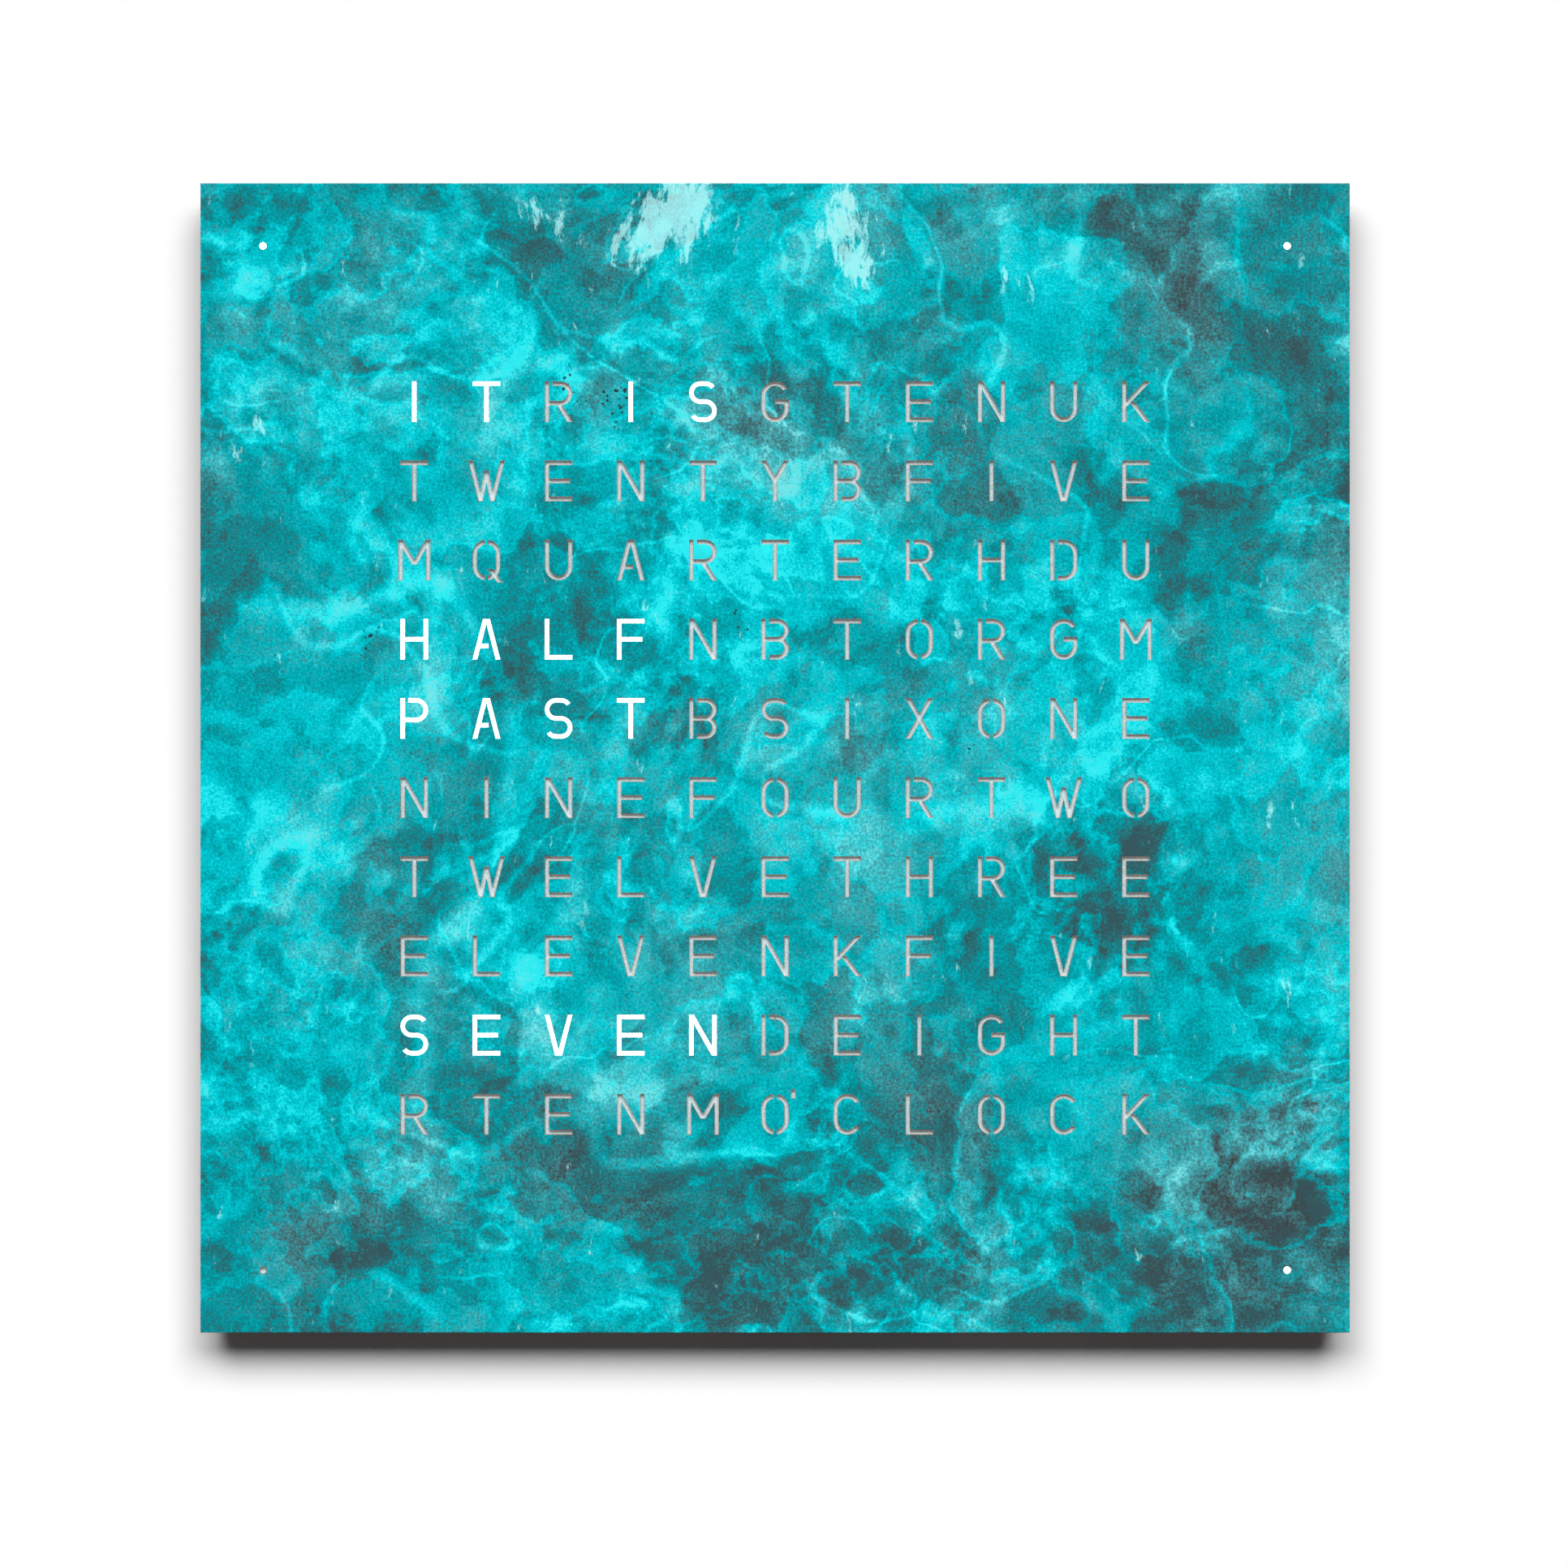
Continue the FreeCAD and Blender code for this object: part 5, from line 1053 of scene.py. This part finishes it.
class CLOCK_OT_screws(bpy.types.Operator):
    """Put a recessed screw in the place of each screw of the clock"""
    bl_idname = "clock.screws"
    bl_label = "Screws"

    # Node: whether it is driven from the rear, and how high its head is, in millimetres.
    SETS = {
        "electronics_cover_screws": (False, 1.0), "inlet_cover_screws": (True, 1.0),
        "hanger_screws": (True, 1.0), "lamp_board_screws": (False, 1.4),
        "controller_screws": (False, 1.4),
    }
    # The radii of the head and the shank, as shares of the solid's.
    HEAD, SHANK = 0.985, 0.5

    def execute(self, context):
        tree = screw_tree()
        for node, (rear, height) in self.SETS.items():
            places = []
            for low, high in islands(node):
                middle = (low + high) / 2
                middle.y = high.y - height * MM if rear else low.y + height * MM
                places.append(middle)
            radius = (high.x - low.x) / 2
            mesh = grown_on_points(node, tree, places, {
                "Head Radius": radius * self.HEAD, "Head Height": height * MM,
                "Shank Radius": radius * self.SHANK, "Shank Length": high.y - low.y - height * MM,
                "Rear": rear, "Seed": len(node), "Material": finish(slots[node])})
            piece(node.replace("_screws", "_fixings"), mesh, [], node)
        return {"FINISHED"}


# A lamp: the sides of its dish, how deep the dish is and how thick the phosphor, as shares of the
# lamp's height, and the radius of the phosphor as a share of the dish's.
DISH_SIDES, DISH_DEPTH, PHOSPHOR_DEPTH, PHOSPHOR_RADIUS = 16, 0.4, 0.2, 0.97


def lamp_tree():
    """A lamp package on each point: a square body with a round dish of phosphor in its front."""
    f = Shapes(
        "lamps", ("Width", "Float", 0.005), ("Height", "Float", 0.0014), ("Window", "Float", 0.0019),
        ("Material", "Material", None), ("Phosphor", "Material", None))
    width, height, window = (f.given[name] for name in ("Width", "Height", "Window"))

    def disc(radius, depth, forward):
        """A round plug that faces forwards. Its depth and how far its middle lies in front of the
        lamp's are shares of the height."""
        return f.placed(f.cylinder(DISH_SIDES, radius, f.share(height, depth)),
                        f.combine(y=f.share(height, -forward)), (math.pi / 2, 0, 0))

    body = f.cut(f.cube(width, height, width), disc(window, DISH_DEPTH, 0.5))
    fill = disc(f.share(window, PHOSPHOR_RADIUS), PHOSPHOR_DEPTH, 0.32)
    return f.ended(f.on_points(f.joined(f.painted(body, "Material"), f.painted(fill, "Phosphor"))))


class CLOCK_OT_lamps(bpy.types.Operator):
    """Put a lamp with its dish of phosphor in the place of each lamp of the clock"""
    bl_idname = "clock.lamps"
    bl_label = "Lamps"

    # The dish's radius as a share of the lamp's width.
    WINDOW = 0.38

    def execute(self, context):
        tree = lamp_tree()
        for node, name in (("letter_lamps", "matrix_lamps"), ("corner_lamps", "minute_lamps")):
            boxes = islands(node)
            low, high = boxes[0]
            mesh = grown_on_points(name, tree, [(a + b) / 2 for a, b in boxes], {
                "Width": high.x - low.x, "Height": high.y - low.y,
                "Window": self.WINDOW * (high.x - low.x),
                "Material": finish("lamp_body"), "Phosphor": finish("phosphor")})
            piece(name, mesh, [], node)
        return {"FINISHED"}


class CLOCK_OT_dress(bpy.types.Operator):
    """Round the edges of the body and its fittings, and give every other part its finish"""
    bl_idname = "clock.dress"
    bl_label = "Body and fittings"

    # Node: piece that stands for it, and how far its edges are rounded, in millimetres.
    ROUNDED = {
        "hanger_plates": ("keyhole_hangers", 0.3), "wall_bumpers": ("wall_pads", 0.45),
        "inlet_cover": ("socket_plate", 0.25), "power_jack": ("power_socket", 0.3),
        "electronics_cover": ("electronics_lid", 0.25), "keeper_plates": ("steel_keepers", 0.12),
        "cover_magnets": ("bar_magnets", 0.3), "hours_button": ("hours_key", 0.25),
        "minutes_button": ("minutes_key", 0.25), "mode_button": ("mode_key", 0.25),
        "jack_pin": ("socket_pin", 0.3), "button_switches": ("press_switches", 0.2),
        "microcontroller": ("processor_chip", 0.12), "driver_chips": ("driver_packages", 0.12),
        "coin_cell": ("button_cell", 0.3), "cell_holder": ("cell_cradle", 0.2),
    }

    # The body's long edges are rounded, by this width and as far as this from its outline.
    BODY_EDGE, BODY_RIM, LONG_EDGE = 0.5, 9.5 * MM, 200 * MM

    def execute(self, context):
        low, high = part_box("body_panel")

        def outer(edge):
            """Whether an edge runs along the outline of the body, before or behind its bevel."""
            ends = [vert.co for vert in edge.verts]
            return all(min(co.x - low.x, high.x - co.x, co.z - low.z, high.z - co.z) < self.BODY_RIM
                       for co in ends) and edge.calc_length() > self.LONG_EDGE

        mesh = rounded_copy("body_panel", self.BODY_EDGE, outer)
        piece("lacquered_body", mesh, [finish("lacquered_board")], "body_panel")
        for node, (name, width) in self.ROUNDED.items():
            piece(name, rounded_copy(node, width), [finish(slots[node])], node)
        for node, made in frame["nodes"].items():
            made.data.materials.clear()
            made.data.materials.append(finish(slots[node]))
        return {"FINISHED"}


# ---------------------------------------------------------------------------------------------------
# Stage
# ---------------------------------------------------------------------------------------------------


class CLOCK_OT_stage(bpy.types.Operator):
    """Set up the wall and floor, the lamps and the camera"""
    bl_idname = "clock.stage"
    bl_label = "Wall, lamps and camera"

    # Where the camera looks, across and up from the middle of the clock, and its sensor, in millimetres.
    AIM, SENSOR = (3.5, -10.2), 36.0
    # How bright a surface that faces the viewer is under one main lamp.
    MAIN_LEVEL = 0.47
    # The other lamps: the way to each, from the clock, and its strength. They are seen this wide.
    LAMPS = (
        ("left_lamp", (-1, 0.45, 0.3), 2.2), ("right_lamp", (1, 0.45, 0.3), 2.2),
        ("low_lamp", (0, 0.45, -1), 1.1), ("rear_lamp", (0.25, 1, 0.6), 1.5),
    )
    LAMP_SPREAD = math.radians(50)
    # The light from all round, where white is 1.
    AROUND = 0.05

    def execute(self, context):
        scene = context.scene
        stage = scene.clock_stage
        lens = bpy.data.cameras.new("camera")
        lens.lens, lens.sensor_width = stage.lens, self.SENSOR
        camera = linked("camera", lens)
        away = stage.view_width * lens.lens / lens.sensor_width
        across, up = self.AIM
        camera.location = (across * MM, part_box("front_plate")[0].y - away, up * MM)
        camera.rotation_euler = (math.pi / 2, 0, 0)
        scene.camera = camera
        scene.view_settings.view_transform = "Standard"
        self.sweep()
        rise, turn = stage.lamp_rise, stage.lamp_turn
        level = math.cos(rise) * math.cos(turn)
        for name, side in (("main_lamp_left", -1), ("main_lamp_right", 1)):
            self.lamp(name, (side * math.cos(rise) * math.sin(turn), -level, math.sin(rise)),
                      self.MAIN_LEVEL * math.pi / level, stage.lamp_spread)
        for name, toward, strength in self.LAMPS:
            self.lamp(name, toward, strength, self.LAMP_SPREAD)
        scene.world = self.world()
        return {"FINISHED"}

    def lamp(self, name, toward, strength, spread):
        """A wide, even lamp that shines from one side."""
        light = bpy.data.lights.new(name, "SUN")
        light.energy, light.angle = strength, spread
        linked(name, light).rotation_euler = Vector(toward).to_track_quat("Z", "Y").to_euler()

    def world(self):
        """White where it is seen, and a little light from all round."""
        world = bpy.data.worlds.new("studio")
        world.use_nodes = True
        tree = Tree(world.node_tree)
        seen = tree.node("ShaderNodeLightPath").outputs
        share = tree.math("MAXIMUM", seen["Is Camera Ray"],
                          tree.math("MAXIMUM", seen["Is Glossy Ray"], seen["Is Transmission Ray"]))
        background = world.node_tree.nodes["Background"].inputs
        tree.put(background["Strength"], tree.math("MULTIPLY_ADD", share, 1 - self.AROUND, self.AROUND))
        background["Color"].default_value = (1, 1, 1, 1)
        return world

    def sweep(self):
        """A pale wall that runs down in a curve to a pale floor, seen from its front side only."""
        wide, top, floor, radius, reach = 4.0, 3.0, -0.9, 0.5, -5.0
        wall, steps = 0.5 * MM, 12
        line = [(wall, top), (wall, floor + radius)]
        line += [(wall - radius * (1 - math.cos(turn)), floor + radius * (1 - math.sin(turn)))
                 for turn in [math.pi / 2 * step / steps for step in range(1, steps + 1)]]
        line.append((reach, floor))
        mesh = bpy.data.meshes.new("wall_and_floor")
        mesh.from_pydata([(x, y, z) for x in (-wide, wide) for y, z in line], [],
                         [(i, len(line) + i, len(line) + i + 1, i + 1) for i in range(len(line) - 1)])
        smoothed(mesh, angle=60, largest=math.inf)
        mesh.flip_normals()
        made = linked("wall_and_floor", mesh)
        f = Finish("pale_wall")
        tone = f.noise(f.place, 3.0)
        f.set(Base_Color=f.mix(f.step(tone, 0.3, 0.7), "FEFEFE", "FFFFFF"), Roughness=1.0,
              Specular_IOR_Level=0.0)
        clear = f.node("ShaderNodeBsdfTransparent").outputs[0]
        side = f.node("ShaderNodeNewGeometry").outputs["Backfacing"]
        both = f.node("ShaderNodeMixShader", {0: side, 1: f.shader.outputs[0], 2: clear}).outputs[0]
        f.put(f.tree.nodes["Material Output"].inputs["Surface"], both)
        mesh.materials.append(f.material)
        made.visible_diffuse = made.visible_shadow = made.visible_glossy = False


# ---------------------------------------------------------------------------------------------------
# Panel and main
# ---------------------------------------------------------------------------------------------------

OPERATORS = (CLOCK_OT_stage, CLOCK_OT_cover, CLOCK_OT_diffusers, CLOCK_OT_dress, CLOCK_OT_screws,
             CLOCK_OT_lamps)


class CLOCK_PT_panel(bpy.types.Panel):
    bl_label = "Word clock"
    bl_idname = "CLOCK_PT_panel"
    bl_space_type = "VIEW_3D"
    bl_region_type = "UI"
    bl_category = "Word clock"

    def draw(self, context):
        for name, group in SETTINGS:
            box = self.layout.box()
            for setting in group.__annotations__:
                box.prop(getattr(context.scene, name), setting)
        for operator in OPERATORS:
            self.layout.operator(operator.bl_idname)


def register():
    for _, group in SETTINGS:
        bpy.utils.register_class(group)
    for name, group in SETTINGS:
        setattr(bpy.types.Scene, name, PointerProperty(type=group))
    for operator in OPERATORS:
        bpy.utils.register_class(operator)
    bpy.utils.register_class(CLOCK_PT_panel)


def unregister():
    bpy.utils.unregister_class(CLOCK_PT_panel)
    for operator in reversed(OPERATORS):
        bpy.utils.unregister_class(operator)
    for name, _ in SETTINGS:
        delattr(bpy.types.Scene, name)
    for _, group in reversed(SETTINGS):
        bpy.utils.unregister_class(group)


def main():
    register()
    bpy.ops.clock.stage()
    bpy.ops.clock.cover()
    bpy.ops.clock.diffusers()
    bpy.ops.clock.dress()
    bpy.ops.clock.screws()
    bpy.ops.clock.lamps()


if __name__ == "__main__":
    main()
